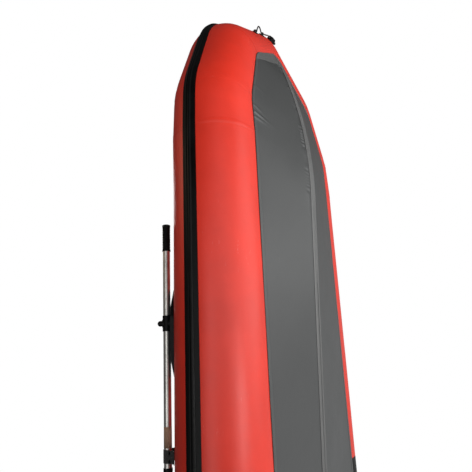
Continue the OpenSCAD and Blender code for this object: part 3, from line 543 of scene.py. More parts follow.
def stretched(tree, vector, factors):
    """A vector with its parts scaled, so that a pattern runs along one of them."""
    return put(tree, "ShaderNodeVectorMath", {0: vector, 1: factors}, operation="MULTIPLY").outputs[0]


def group(name, inputs, outputs, fill):
    """A shader node group with named sockets; fill builds it and returns its outputs in order."""
    tree = bpy.data.node_groups.new(name, "ShaderNodeTree")
    for label, kind, value in inputs:
        socket = tree.interface.new_socket(name=label, in_out="INPUT", socket_type=kind)
        if value is not None:
            socket.default_value = value
    for label, kind in outputs:
        tree.interface.new_socket(name=label, in_out="OUTPUT", socket_type=kind)
    entry, leave = tree.nodes.new("NodeGroupInput"), tree.nodes.new("NodeGroupOutput")
    for k, socket in enumerate(fill(tree, entry.outputs)):
        tree.links.new(socket, leave.inputs[k])
    return tree


def fill_weave(tree, given):
    """Threads over and under: two crossing waves, the higher of the two at each place."""
    parts = put(tree, "ShaderNodeSeparateXYZ", {0: given["Vector"]})
    turns = mathed(tree, "MULTIPLY", given["Threads"], 2 * math.pi)
    along = mathed(tree, "SINE", mathed(tree, "MULTIPLY", parts.outputs[0], turns))
    across = mathed(tree, "SINE", mathed(tree, "MULTIPLY", parts.outputs[1], turns))
    product = mathed(tree, "MULTIPLY", along, across)
    height = mathed(tree, "MULTIPLY_ADD", product, 0.5)
    height.node.inputs[2].default_value = 0.5
    return [height]


def fill_wear(tree, given):
    """Handling marks: cloudy dullness, fine speckle of dust, and short pale rubs."""
    clouds = noise(tree, given["Vector"], given["Scale"], 4.0)
    speckle = ramped(tree, noise(tree, given["Vector"], 900.0, 2.0), 0.62, 0.78)
    rub_place = ramped(tree, noise(tree, given["Vector"], 5.0, 2.0), 0.6, 0.72)
    streaks = noise(tree, stretched(tree, given["Vector"], (30.0, 130.0, 130.0)), 1.0, 4.0, 0.7)
    rubs = mathed(tree, "MULTIPLY", ramped(tree, streaks, 0.62, 0.72), rub_place)
    dust, rubs = (mathed(tree, "MULTIPLY", value, given["Amount"]) for value in (speckle, rubs))
    return [clouds, dust, rubs]


def fill_grain(tree, given):
    """Wood grain along the first axis: stretched noise for the lines and a wave for the broad figure."""
    fine = noise(tree, stretched(tree, given["Vector"], (6.0, 260.0, 260.0)), 1.0, 5.0, 0.6)
    bend = noise(tree, stretched(tree, given["Vector"], (2.0, 9.0, 9.0)), 1.0, 2.0)
    parts = put(tree, "ShaderNodeSeparateXYZ", {0: given["Vector"]})
    rings = mathed(tree, "SINE", mathed(tree, "MULTIPLY_ADD", parts.outputs[1], 130.0))
    tree.links.new(mathed(tree, "MULTIPLY", bend, 22.0), rings.node.inputs[0].links[0].from_node.inputs[2])
    broad = ramped(tree, rings, -1.0, 1.0)
    lines = mathed(tree, "MULTIPLY", broad, fine)
    return [lines, fine]


def groups():
    """The shared effects, built once."""
    if "weave" not in bpy.data.node_groups:
        vector, value = "NodeSocketVector", "NodeSocketFloat"
        group("weave", [("Vector", vector, None), ("Threads", value, 900.0)], [("Height", value)], fill_weave)
        group("wear", [("Vector", vector, None), ("Scale", value, 6.0), ("Amount", value, 0.5)],
              [("Clouds", value), ("Dust", value), ("Rubs", value)], fill_wear)
        group("grain", [("Vector", vector, None)], [("Lines", value), ("Pores", value)], fill_grain)
    return bpy.data.node_groups


def use(tree, name, inputs):
    """A shared effect placed in a material."""
    made = put(tree, "ShaderNodeGroup", node_tree=groups()[name])
    for key, value in inputs.items():
        if isinstance(value, bpy.types.NodeSocket):
            tree.links.new(value, made.inputs[key])
        else:
            made.inputs[key].default_value = value
    return made.outputs


def material(name, fill, **sockets):
    """A material whose own Principled sockets take the given plain values; fill links the rest.
    Built once and shared after that."""
    made = bpy.data.materials.get(name)
    if made:
        return made
    made = bpy.data.materials.new(name)
    made.use_nodes = True
    tree = made.node_tree
    shader = next(n for n in tree.nodes if n.type == "BSDF_PRINCIPLED")
    for key, value in sockets.items():
        shader.inputs[key.replace("_", " ").title().replace("Ior", "IOR")].default_value = value
    fill(tree, shader)
    return made


def link(tree, shader, **sockets):
    """Links outputs to the shader's sockets."""
    for key, value in sockets.items():
        tree.links.new(value, shader.inputs[key.replace("_", " ").title()])


def bumped(tree, height, strength, distance, normal=None):
    """A bump from a height."""
    inputs = {"Height": height, "Strength": strength, "Distance": distance}
    if normal is not None:
        inputs["Normal"] = normal
    return put(tree, "ShaderNodeBump", inputs).outputs[0]


def coated_fabric(name, tint, roughness, wear=0.5, pale=(0.9, 0.75, 0.7), shine=0.4, line=None):
    """Woven cloth under a smooth coating: faint threads, cloudy gloss, dust and rubs. Line is the part of its
    width, in metres, outside which the edges are darkened with painted shade, where the piece meets its neighbour."""

    def fill(tree, shader):
        place = put(tree, "ShaderNodeTexCoord")
        metres = put(tree, "ShaderNodeUVMap", uv_map="metres").outputs[0]
        place = place.outputs["Object"]
        clouds, dust, rubs = use(tree, "wear", {"Vector": place, "Scale": 3.0, "Amount": wear})
        weave = use(tree, "weave", {"Vector": metres, "Threads": 800.0})[0]
        deep = tuple(0.86 * c for c in tint)
        base = mixed(tree, ramped(tree, clouds, 0.35, 0.65), deep, tint)
        base = mixed(tree, mathed(tree, "MULTIPLY", dust, 0.16), base, pale)
        base = mixed(tree, mathed(tree, "MULTIPLY", rubs, 0.45), base, pale)
        # Painted shade: outside line the colour goes to near black, standing in for the shade along the piece's edges.
        if line:
            across = put(tree, "ShaderNodeSeparateXYZ", {0: metres}).outputs[1]
            middle, half = (line[0] + line[1]) / 2, (line[1] - line[0]) / 2
            away = mathed(tree, "ABSOLUTE", mathed(tree, "SUBTRACT", across, middle))
            base = mixed(tree, ramped(tree, away, half - 0.0006, half + 0.0006), base, (0.008, 0.008, 0.008))
        gloss = mathed(tree, "ADD", ramped(tree, clouds, 0.3, 0.7, roughness - 0.05, roughness + 0.06),
                       mathed(tree, "MULTIPLY", rubs, 0.2))
        swell = noise(tree, place, 28.0, 2.0)
        normal = bumped(tree, swell, 0.12, 0.004)
        normal = bumped(tree, weave, 0.1, 0.0002, normal)
        link(tree, shader, base_color=base, roughness=gloss, normal=normal)

    return material(name, fill, specular_ior_level=shine)


def rubber(name, tint, roughness, grain=420.0, wear=0.6):
    """Extruded or moulded rubber: fine matt grain, worn grey here and there."""

    def fill(tree, shader):
        place = put(tree, "ShaderNodeTexCoord").outputs["Object"]
        clouds, dust, rubs = use(tree, "wear", {"Vector": place, "Scale": 9.0, "Amount": wear})
        light = tuple(min(1.0, 2.2 * c + 0.008) for c in tint)
        base = mixed(tree, ramped(tree, clouds, 0.3, 0.75, 0.0, 0.35), tint, light)
        base = mixed(tree, mathed(tree, "MULTIPLY", dust, 0.1), base, (0.3, 0.29, 0.27))
        base = mixed(tree, mathed(tree, "MULTIPLY", rubs, 0.12), base, (0.2, 0.2, 0.2))
        fine = noise(tree, place, grain, 3.0)
        gloss = ramped(tree, clouds, 0.3, 0.7, roughness - 0.06, roughness + 0.1)
        link(tree, shader, base_color=base, roughness=gloss, normal=bumped(tree, fine, 0.18, 0.0006))

    return material(name, fill, specular_ior_level=0.1)


def metal(name, tint, roughness, along=(6.0, 420.0, 420.0)):
    """Drawn or brushed metal: fine lines along the piece, a little dulled."""

    def fill(tree, shader):
        place = put(tree, "ShaderNodeTexCoord").outputs["Object"]
        clouds, dust, rubs = use(tree, "wear", {"Vector": place, "Scale": 14.0, "Amount": 0.4})
        lines = noise(tree, stretched(tree, place, along), 1.0, 3.0, 0.7)
        dull = tuple(0.72 * c for c in tint)
        base = mixed(tree, ramped(tree, clouds, 0.35, 0.7), tint, dull)
        base = mixed(tree, mathed(tree, "MULTIPLY", dust, 0.25), base, (0.3, 0.28, 0.25))
        gloss = mathed(tree, "ADD", ramped(tree, lines, 0.3, 0.7, roughness - 0.05, roughness + 0.08),
                       mathed(tree, "MULTIPLY", rubs, 0.15))
        link(tree, shader, base_color=base, roughness=gloss, normal=bumped(tree, lines, 0.03, 0.0002))

    return material(name, fill, metallic=1.0)


def plywood(name, turn, coat=0.25):
    """Sealed plywood: grain on the faces, glued layers on the edges. Turn is the angle of the grain."""

    def fill(tree, shader):
        c = colours()
        place = put(tree, "ShaderNodeTexCoord")
        sheer = math.atan2(SIN, COS)
        at = place.outputs["Object"]
        level = put(tree, "ShaderNodeMapping", {"Vector": at, "Rotation": (0.0, sheer, 0.0)})
        turned = put(tree, "ShaderNodeMapping", {"Vector": level.outputs[0], "Rotation": (0.0, 0.0, turn)})
        lines, pores = use(tree, "grain", {"Vector": turned.outputs[0]})
        clouds, dust, rubs = use(tree, "wear", {"Vector": at, "Scale": 5.0, "Amount": 0.7})
        base = mixed(tree, ramped(tree, lines, 0.1, 0.6), c.ply, c.ply_dark)
        base = mixed(tree, ramped(tree, clouds, 0.3, 0.7, 0.0, 0.4), base, tuple(0.6 * x for x in c.ply))
        height = put(tree, "ShaderNodeSeparateXYZ", {0: level.outputs[0]}).outputs[2]
        wave = mathed(tree, "SINE", mathed(tree, "MULTIPLY", height, 2 * math.pi / PLY_T))
        layer = ramped(tree, wave, -0.3, 0.3)
        edge = mixed(tree, layer, tuple(0.55 * x for x in c.ply_dark), c.ply)
        facing = put(tree, "ShaderNodeSeparateXYZ", {0: place.outputs["Normal"]}).outputs[2]
        side = ramped(tree, mathed(tree, "ABSOLUTE", facing), 0.5, 0.3)
        base = mixed(tree, side, base, edge)
        base = mixed(tree, mathed(tree, "MULTIPLY", rubs, 0.5), base, (0.5, 0.42, 0.32))
        base = mixed(tree, mathed(tree, "MULTIPLY", dust, 0.2), base, (0.45, 0.42, 0.38))
        gloss = ramped(tree, clouds, 0.3, 0.7, 0.32, 0.5)
        link(tree, shader, base_color=base, roughness=gloss, normal=bumped(tree, pores, 0.15, 0.0006))

    return material(name, fill, coat_weight=coat, coat_roughness=0.3)


def webbing(name, tint, threads=420.0):
    """Woven strap: a coarse weave with fuzz."""

    def fill(tree, shader):
        place = put(tree, "ShaderNodeTexCoord").outputs["Object"]
        metres = put(tree, "ShaderNodeUVMap", uv_map="metres").outputs[0]
        weave = use(tree, "weave", {"Vector": metres, "Threads": threads})[0]
        clouds, dust, _rubs = use(tree, "wear", {"Vector": place, "Scale": 20.0, "Amount": 0.8})
        light = tuple(2.4 * c + 0.012 for c in tint)
        base = mixed(tree, mathed(tree, "MULTIPLY", weave, clouds), tint, light)
        base = mixed(tree, mathed(tree, "MULTIPLY", dust, 0.3), base, (0.25, 0.24, 0.22))
        gloss = ramped(tree, weave, 0.0, 1.0, 0.85, 0.6)
        link(tree, shader, base_color=base, roughness=gloss, normal=bumped(tree, weave, 0.5, 0.0008))

    return material(name, fill, sheen_weight=0.25, sheen_roughness=0.5)


def red_fabric():
    """The chambers' fabric."""
    return coated_fabric("red_coated_fabric", tuple(colours().tube), 0.42, 0.45)


def grey_fabric():
    """The bottom's fabric."""
    return coated_fabric("grey_coated_fabric", tuple(colours().bottom), 0.38, 0.7, (0.4, 0.4, 0.38), 0.7)


def tape_fabric():
    """The tape along the bottom's edges, with a dark line of painted shade on its outer side, where it meets the
    chamber.
    """
    # Its outer 4.5 mm is darkened with painted shade.
    return coated_fabric("grey_tape", tuple(colours().tape), 0.36, 0.7, (0.42, 0.42, 0.4), 0.7, (0.0045, 1.0))


def patch_fabric(name, line=None):
    """The thicker grey cloth of the front band and the keel protector."""
    return coated_fabric(name, tuple(colours().patch), 0.42, 0.7, (0.42, 0.42, 0.4), 0.6, line)


def black_rubber():
    """Strake, patches and rails."""
    return rubber("black_rubber", tuple(colours().black), 0.36)


def black_moulding():
    """Moulded fittings."""
    return rubber("black_moulding", tuple(colours().moulded), 0.44, 700.0, 0.4)


# ---- pieces ----


def seam_places(line):
    """Distances along a bow half-line at which the panels are joined: its start and its two corners."""
    arc = np.concatenate([[0], np.cumsum(np.linalg.norm(np.diff(line[:, :3], axis=0), axis=1))])
    s = sizes()
    corners = STRAIGHT_L + s.bow_l * BOW_CORNERS[1:3, 0]
    return [0.0] + [float(np.interp(x, line[:, 0], arc)) for x in corners] + [float(arc[-1])]


def make_chambers():
    """Side tubes, bow tube and stern cones: rings round a centre line with puckers at the seams."""
    s = sizes()
    angles = np.linspace(0, 360, 96, endpoint=False)
    x = np.concatenate([np.linspace(0, 0.15, 16, endpoint=False), np.linspace(0.15, STRAIGHT_L - 0.15, 60),
                        np.linspace(STRAIGHT_L - 0.15, STRAIGHT_L, 17)[1:]])
    side = np.stack([x, np.full_like(x, -SPAN), 0 * x, np.full_like(x, TUBE_R)], -1)
    tube = in_boat(over_tube(side, angles, puckers(side, angles, [0.0, STRAIGHT_L])))
    for side_name, rings in (("starboard", tube), ("port", mirrored(tube))):
        Surface().add(rings, True, True).build(
            f"{side_name}_chamber", red_fabric(), "hull", "tube_red", [f"{side_name}_tube"])
    half = bow_line()
    places = seam_places(half)
    line = np.concatenate([half, half[-2::-1] * np.array([1, -1, 1, 1])])
    seams = places + [2 * places[-1] - p for p in places[:-1]]
    bow = in_boat(over_tube(line, angles, puckers(line, angles, seams)))
    Surface().add(bow, True, True).build(
        "bow_chamber", red_fabric(), "hull", "tube_red", ["bow_tube", "bulkheads"])
    t = np.linspace(0, 1, 34)
    radius = TUBE_R + (s.cone_end_r - TUBE_R) * t
    cone = np.stack([-s.cone_l * t, np.full_like(t, -SPAN), 0 * t, radius], -1)[::-1]
    rings = in_boat(over_tube(cone, angles, puckers(cone, angles, [s.cone_l])))
    Surface().both(rings, True, True).build(
        "stern_cone_skins", red_fabric(), "hull", "tube_red", ["stern_cones"])


def make_seam_bands():
    """Bands glued over the seams: short rings that stand a little proud, thinned to nothing at both edges."""
    s = sizes()
    angles = np.linspace(0, 360, 96, endpoint=False)
    edges = np.array([-0.5, -0.47, 0.47, 0.5]) * s.band_w
    heights = np.array([0.0001, s.band_t, s.band_t, 0.0001])[:, None]
    bands = Surface()

    def band(line, centre):
        arc = np.concatenate([[0], np.cumsum(np.linalg.norm(np.diff(line[:, :3], axis=0), axis=1))])
        places = np.clip(centre + edges, arc[0], arc[-1])
        middle, out, up, radius = stations(line)
        at, side, rise = (np.stack([np.interp(places, arc, v[:, k]) for k in range(3)], -1)
                          for v in (middle, out, up))
        reach = (np.interp(places, arc, radius)[:, None] + heights + 0.0004)[..., None]
        a = np.radians(angles)[None, :, None]
        round_it = np.cos(a) * unit(side)[:, None] + np.sin(a) * unit(rise)[:, None]
        return at[:, None] + reach * round_it

    half = hull_line(-0.001)
    half = half[: len(half) // 2 + 1]
    port = half[::-1] * np.array([1, -1, 1, 1])
    whole = np.concatenate([half, port[1:]])
    arc_to_bow = STRAIGHT_L + 0.001
    places = [arc_to_bow + p for p in seam_places(bow_line())]
    for place in places[:-1]:
        bands.both(in_boat(band(whole, place)), True)
    bands.add(in_boat(band(whole, places[-1])), True)
    cone = np.array([[x, -SPAN, 0, TUBE_R + (TUBE_R - s.cone_end_r) / s.cone_l * min(x, 0)]
                     for x in (-0.06, -0.03, -0.0005, 0.0005, 0.03, 0.06)])
    bands.both(in_boat(band(cone, 0.06)), True)
    bands.build("seam_bands", red_fabric(), "hull", "tube_red")


def make_strake():
    """The rubbing strake: a profile with a thin flange and a grooved rib, carried round the hull."""
    s = sizes()
    profile = np.array([
        [-1, 0.02], [-1, 0.08], [-0.96, 0.12], [-0.46, 0.17], [-0.37, 0.32], [-0.34, 0.68], [-0.3, 0.88],
        [-0.22, 0.98], [-0.11, 1], [-0.06, 0.9], [0.0, 0.87], [0.06, 0.9], [0.11, 1], [0.2, 0.98],
        [0.28, 0.88],
        [0.32, 0.68], [0.35, 0.32], [0.44, 0.17], [0.96, 0.12], [1, 0.08], [1, 0.02]])
    line = hull_line(0.03, 80)
    centre, _out, _up, radius = stations(line)
    arc = np.concatenate([[0], np.cumsum(np.linalg.norm(np.diff(centre, axis=0), axis=1))])
    taper = (0.25 + 0.75 * smooth(np.minimum(arc, arc[-1] - arc) / 0.05))[:, None]
    angles = s.strake_angle + np.degrees(profile[None, :, 0] * s.strake_w / 2 / radius[:, None])
    heights = 0.0003 + profile[None, :, 1] * s.strake_h * taper
    rings = in_boat(over_tube(line, angles, heights))
    Surface().add(rings, True, True).build("strake", black_rubber(), "hull", "trim_black", ["rub_strake"])


def bottom_edges(straight_steps=70):
    """Where the bottom meets the starboard tube, in the boat's frame, from the transom to the nose."""
    s = sizes()
    low, _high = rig.box("bottom_skin")
    start = (low.x - STERN[0]) / COS - TUBE_R * SIN
    line = hull_line(start, straight_steps)
    line = line[: len(line) // 2 + 1]
    share = np.clip((line[:, 0] - STRAIGHT_L) / s.bow_l, 0, 1)
    angle = -90 - (s.edge_angle + (s.nose_edge_angle - s.edge_angle) * share)
    edge = in_boat(over_tube(line, angle[:, None]))[:, 0]
    return edge[edge[:, 1] < -s.ridge_half - 0.008]


def ridge_height(x, edges):
    """Height of the ridge's underside: level aft of the knee, a parabola forward of it up to the nose."""
    s = sizes()
    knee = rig.box("air_keel")[1].x - 0.009
    rise = edges[-1, 2] - s.strip_t - s.skin_t
    return s.strip_t + rise * np.clip((x - knee) / (edges[-1, 0] - knee), 0, None) ** 2


def bottom_surface(edges, x, y, relief=True):
    """The bottom's underside at places x, y: straight panels rise from the ridge to the edges, drawn in
    a little between them, with ripples beside the ridge and creases where the bow begins."""
    s = sizes()
    x, y = np.broadcast_arrays(x, y)
    half = np.interp(x, edges[:, 0], -edges[:, 1])
    t = np.clip((np.abs(y) - s.ridge_half) / (half - s.ridge_half), 0, 1)
    ridge = ridge_height(x, edges)
    top = np.interp(x, edges[:, 0], edges[:, 2]) - s.skin_t
    z = ridge + (top - ridge) * t + 0.0035 * 4 * t * (1 - t) * smooth((half - s.ridge_half) / 0.2)
    if relief:
        forward = smooth((x - 0.25) / 0.3)
        beside = np.exp(-(((np.abs(y) - s.ridge_half - 0.018) / 0.016) ** 2))
        z = z + 0.0022 * forward * beside * np.sin(x * 165 + 9 * np.sin(x * 23)) * np.where(y < 0, 1, 0.7)
        bow_start = STERN[0] + STRAIGHT_L * COS
        inward = half - np.abs(y)
        creases = ((0.13, -0.1, 0.1, 0.0045), (0.1, 0.0, 0.08, 0.0035), (0.17, -0.2, 0.06, 0.0025),
                   (0.3, 0.0, 0.07, 0.002))
        for place, slant, reach, height in creases:
            line = bow_start + place + slant * inward
            crease = np.exp(-(((x - line) / 0.008) ** 2)) * np.exp(-((inward - 0.02) / reach) ** 2)
            z = z - height * crease * smooth(inward / 0.012)
    return np.stack([x, y, z], -1)


def make_bottom():
    """Bottom fabric, its edge tapes, the band at its front and the ribbed keel protector."""
    s = sizes()
    edges = bottom_edges()
    fine = np.concatenate([edges[:-1] + (edges[1:] - edges[:-1]) * t for t in (0.0, 0.25, 0.5, 0.75)])
    edges = np.concatenate([fine[np.argsort(fine[:, 0])], edges[-1:]])
    x, half = edges[:, 0], -edges[:, 1]
    across = np.linspace(-1, 1, 161)
    down = (0, 0, -1)
    Surface().add(bottom_surface(edges, x[:, None], across * half[:, None]), facing=down).build(
        "bottom_fabric", grey_fabric(), "hull", "bottom_grey", ["bottom_skin"], s.skin_t)
    tapes = Surface()
    for sign in (-1, 1):
        y = sign * (half[:, None] - np.linspace(0, s.tape_w, 7))
        tapes.add(bottom_surface(edges, x[:, None], y, False) - [0, 0, 0.0008], facing=down)
    tapes.build("bottom_tapes", tape_fabric(), "hull", "bottom_grey", ["hull_seam_tapes"], 0.0007)
    corner = x[-1] - 0.165
    share = np.linspace(-1, 1, 121)
    depth = s.front_band_w * np.linspace(0, 1, 30)[:, None]
    ahead = np.interp(np.abs(share) * np.interp(corner, x, half), half[::-1], x[::-1])
    out = 0.995 * share * np.interp(corner - depth, x, half)
    Surface().add(bottom_surface(edges, ahead - depth, out, False) - [0, 0, 0.0012], facing=down).build(
        "bow_band", patch_fabric("grey_band"), "hull", "bottom_grey", (), 0.0008)
    w = s.ridge_half - 0.002
    half_lift = [[0.15, 1], [0.25, 0.7], [0.45, 0.75], [0.55, 1], [0.72, 0.95], [0.8, 0.45], [0.97, 0.35],
                 [1, 0.05]]
    lift = np.array([[-y, z] for y, z in half_lift[::-1]] + half_lift)
    z = ridge_height(x, edges)[:, None] - s.strip_t * lift[None, :, 1]
    strip = np.stack([np.broadcast_to(x[:, None], z.shape), np.broadcast_to(w * lift[:, 0], z.shape), z], -1)
    # Both long edges of the protector are darkened with painted shade.
    Surface().add(strip, facing=down).build(
        "keel_protector", patch_fabric("grey_protector", (0.004, 0.074)), "hull", "bottom_grey",
        ["keel_strip"], 0.0012)


def make_air_keel():
    """The air keel under the floor: rings on an axis from the smaller aft radius to the larger fore one, with
    round ends and low ribs."""
    low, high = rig.box("air_keel")
    r_fore = (high.y - low.y) / 2
    r_aft = 0.034
    t = np.linspace(0, 1, 90)
    x = low.x + (high.x - low.x) * t
    taper = r_aft + (r_fore - r_aft) * np.clip((x - low.x - r_aft) / (high.x - low.x - r_aft - r_fore), 0, 1)
    aft = np.sqrt(np.clip(1 - np.clip((low.x + r_aft - x) / r_aft, 0, 1) ** 2, 0, 1))
    fore = np.sqrt(np.clip(1 - np.clip((x - high.x + r_fore) / r_fore, 0, 1) ** 2, 0, 1))
    r = np.clip(taper * aft * fore, 0.001, None) - 0.0006 * np.abs(np.sin(x * 40))
    a = np.linspace(0, 2 * math.pi, 40, endpoint=False)
    z = low.z + taper
    x, r, z = x[:, None], r[:, None], z[:, None]
    rings = np.stack(np.broadcast_arrays(x, r * np.cos(a), z + r * np.sin(a)), -1)
    Surface().add(rings, True, True).build(
        "air_keel_skin", grey_fabric(), "hull", "bottom_grey", ["air_keel"])


def oar_frame(points):
    """The starboard oar's points (X along the shaft to the grip, Z along the pin) in the boat's frame."""
    swing, turn = JOINTS["starboard_oar_swing"], JOINTS["starboard_blade_turn"]
    z, x = np.array(swing["axis"]), np.array(turn["axis"])
    y = np.cross(z, x)
    return np.array(swing["pos_m"]) + np.asarray(points, float) @ np.stack([x, y, z])


def turned(profile, sides=40):
    """A profile of places and radii turned about the shaft's axis."""
    p = np.asarray(profile, float)
    a = np.linspace(0, 2 * math.pi, sides, endpoint=False)
    x = np.broadcast_to(p[:, :1], (len(p), sides))
    return np.stack([x, p[:, 1:] * np.cos(a), p[:, 1:] * np.sin(a)], -1)


def on_each_side(name, grids, finish, body, slot, node=None, thickness=0.0):
    """Builds the starboard piece and its mirror image for port. Grids are rings, each with closed ends."""
    for side, turn_over in (("starboard", lambda p: p), ("port", mirrored)):
        surface = Surface()
        for grid in grids:
            surface.add(turn_over(grid), True, True)
        replaces = [f"{side}_{node}"] if node else ()
        surface.build(f"{side}_{name}", finish, f"{side}_{body}", slot, replaces, thickness)


def make_grips():
    """Ribbed grips: a turned profile whose radius dips between ribs, with a domed end."""
    s = sizes()
    low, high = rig.box("starboard_oar_grip")
    corner = np.array([high.x, (low.y + high.y) / 2, (low.z + high.z) / 2])
    origin = np.array(JOINTS["starboard_oar_swing"]["pos_m"])
    x_axis = np.array(JOINTS["starboard_blade_turn"]["axis"])
    end = float((corner - origin) @ x_axis)
    t = np.linspace(0, 1, 140)
    x = end - s.grip_l * (1 - t)
    ribs = 0.0011 * smooth(np.sin(t * 11 * 2 * math.pi) * 2)
    ribs = ribs * smooth((t - 0.08) / 0.02) * smooth((0.86 - t) / 0.02)
    r = s.shaft_d / 2 + 0.0016 - ribs + 0.0008 * smooth((t - 0.9) / 0.03) + 0.001 * smooth((0.06 - t) / 0.02)
    dome = np.sqrt(np.clip(1 - np.clip((t - 0.965) / 0.035, 0, 1) ** 2, 0.0, 1))
    r = np.maximum(r * (0.25 + 0.75 * dome), 0.001)
    rings = turned(np.stack([x, r], -1))
    rings = np.concatenate([turned([[x[0], s.shaft_d / 2 + 0.0002]]), rings])
    on_each_side("grip", [oar_frame(rings)], rubber("grip_rubber", tuple(colours().black), 0.55, 900.0, 0.4),
                 "oar", "moulded_black", "oar_grip")


def blade_outer():
    """Distance from the oarlock to the blade's tip, from the blade's box."""
    low, _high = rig.box("starboard_oar_blade")
    tip = np.array([low.x, JOINTS["starboard_oar_swing"]["pos_m"][1], low.z + 0.04])
    axis = np.array(JOINTS["starboard_blade_turn"]["axis"])
    return float((tip - np.array(JOINTS["starboard_oar_swing"]["pos_m"])) @ axis)


def make_blades():
    """Blades: flattened rings whose half width swells and rounds off at the tip, with a spine along the
    middle that fades out, and a stepped socket on the shaft."""
    s = sizes()
    tip = blade_outer()
    root = tip + s.blade_l
    t = np.linspace(0, 1, 110)
    grow = 0.0185 + (s.blade_w / 2 - 0.0185) * smooth(t / 0.55)
    rounding = (1 - np.clip((t - 0.86) / 0.14, 0, 1) ** 2.4) ** (1 / 2.4)
    half = np.maximum(grow * rounding, 0.002)
    x = root - s.blade_l * t
    a = np.linspace(0, 2 * math.pi, 72, endpoint=False)
    y = half[:, None] * np.cos(a)
    side = np.sign(np.sin(a)) * np.abs(np.sin(a)) ** 0.35
    spine = 0.0145 * (1 - smooth(t / 0.9))[:, None] * np.exp(-((y / 0.013) ** 2))
    ridges = 0.0012 * np.exp(-(((np.abs(y) / half[:, None] - 0.55) / 0.05) ** 2))
    ridges = ridges * smooth((t - 0.3) / 0.1)[:, None]
    z = side * (0.0026 + spine + ridges)
    blade = np.stack([np.broadcast_to(x[:, None], y.shape), y, z], -1)
    collar = np.array([[0.05, 0.0002], [0.05, 0.002], [0.046, 0.003], [0.036, 0.003], [0.033, 0.0022],
                       [0.014, 0.0022], [0.011, 0.003], [-0.04, 0.0026], [-0.08, 0.0008]])
    socket = turned(collar + [root, s.shaft_d / 2])
    finish = rubber("blade_plastic", tuple(colours().moulded), 0.42, 500.0, 0.5)
    parts = [oar_frame(blade), oar_frame(socket)]
    on_each_side("blade", parts, finish, "blade", "moulded_black", "oar_blade")


def make_shaft_tapes():
    """Plain tape round the end of each oar's upper shaft."""
    s = sizes()
    finish = rubber("shaft_tape", tuple(colours().label), 0.5, 600.0, 0.5)
    joint = float(np.linalg.norm(np.array(JOINTS["starboard_blade_turn"]["pos_m"])
                                 - np.array(JOINTS["starboard_oar_swing"]["pos_m"])))
    profile = np.array([[0, 0.0001], [0, 0.00035], [s.shaft_tape_l, 0.00035], [s.shaft_tape_l, 0.0001]])
    tape = turned(profile + [0.002 - joint, s.shaft_d / 2])
    on_each_side("shaft_tape", [oar_frame(tape)], finish, "oar", "moulded_black")


def pebble(middle, half, power=2.6, sides=24):
    """A rounded block: a ball whose coordinates are raised to 2/power, scaled to its half sizes."""
    u = np.linspace(-math.pi / 2, math.pi / 2, 13)[:, None]
    v = np.linspace(0, 2 * math.pi, sides, endpoint=False)[None, :]

    def bent(value):
        return np.sign(value) * np.abs(value) ** (2 / power)

    x = bent(np.sin(u)) * np.ones_like(v)
    y = bent(np.cos(u)) * bent(np.cos(v))
    z = bent(np.cos(u)) * bent(np.sin(v))
    return np.asarray(middle) + np.stack([x, y, z], -1) * np.asarray(half)


def strap_section():
    """The strap's path across the shaft, in the oar's frame: over the shaft as an arc, down both tangents and
    out along the tube's skin. Rows of y, z."""
    s = sizes()
    axis_point = oar_frame([[-s.strap_x, 0, 0]])[0]
    local = axis_point - STERN
    z = -local[0] * SIN + local[2] * COS
    height = math.hypot(axis_point[1] + SPAN, z) - TUBE_R
    arc_r, knee, foot = s.shaft_d / 2 + 0.0016, 0.036, 0.054
    knee_z = -height - knee ** 2 / (2 * TUBE_R) + 0.0028
    reach = math.hypot(knee, knee_z)
    start = math.atan2(knee, knee_z) - math.acos(arc_r / reach)
    a = np.linspace(-start, start, 25)
    arc = np.stack([arc_r * np.sin(a), arc_r * np.cos(a)], -1)
    feet = np.linspace(foot, knee, 6)
    skin = np.stack([feet, -height - feet ** 2 / (2 * TUBE_R) + 0.0028], -1)
    tangent = skin[-1] + (arc[-1] - skin[-1]) * np.linspace(0, 1, 10)[1:-1, None]
    right = np.concatenate([skin, tangent])
    return np.concatenate([right * np.array([-1, 1]), arc, right[::-1]]), height


def make_straps():
    """Stow straps: webbing over each shaft with turned-up ends, and a small moulded buckle on its slope. They
    flatten on the tube when the oar swings out."""
    s = sizes()
    section, height = strap_section()
    across = np.linspace(-0.5, 0.5, 15)
    x = -s.strap_x + across * s.strap_w
    grid = np.empty((len(section), 15, 3))
    grid[..., 0] = x[None, :]
    grid[..., 1], grid[..., 2] = section[:, :1], section[:, 1:]
    band = oar_frame(grid)
    outward = oar_frame([[0, 0, 1]])[0] - oar_frame([[0, 0, 0]])[0]
    anchor = oar_frame([[-s.strap_x, 0, -height]])[0]
    for side, turn_over in (("starboard", lambda p: np.asarray(p)), ("port", mirrored)):
        strap = Surface().add(turn_over(band), facing=turn_over(outward)).build(
            f"{side}_stow_strap", webbing("strap_webbing", tuple(colours().moulded)), "hull", "webbing_black",
            [f"{side}_strap"])
        wall = strap.modifiers.new("thickness", "SOLIDIFY")
        wall.thickness, wall.offset = 0.0022, 0.0
        buckle = Surface()
        slope = section[9]
        for place in (-0.3, 0.3):
            centre = [-s.strap_x + place * s.strap_w, slope[0], slope[1] + 0.003]
            buckle.add(turn_over(oar_frame(pebble(centre, [0.006, 0.01, 0.0035]))), True, True)
        clasp = buckle.build(f"{side}_strap_buckle", black_moulding(), "hull", "moulded_black")
        for piece in (strap, clasp):
            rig.squash(piece, f"{side}_oar_swing", turn_over(outward), turn_over(anchor), keep=0.3)


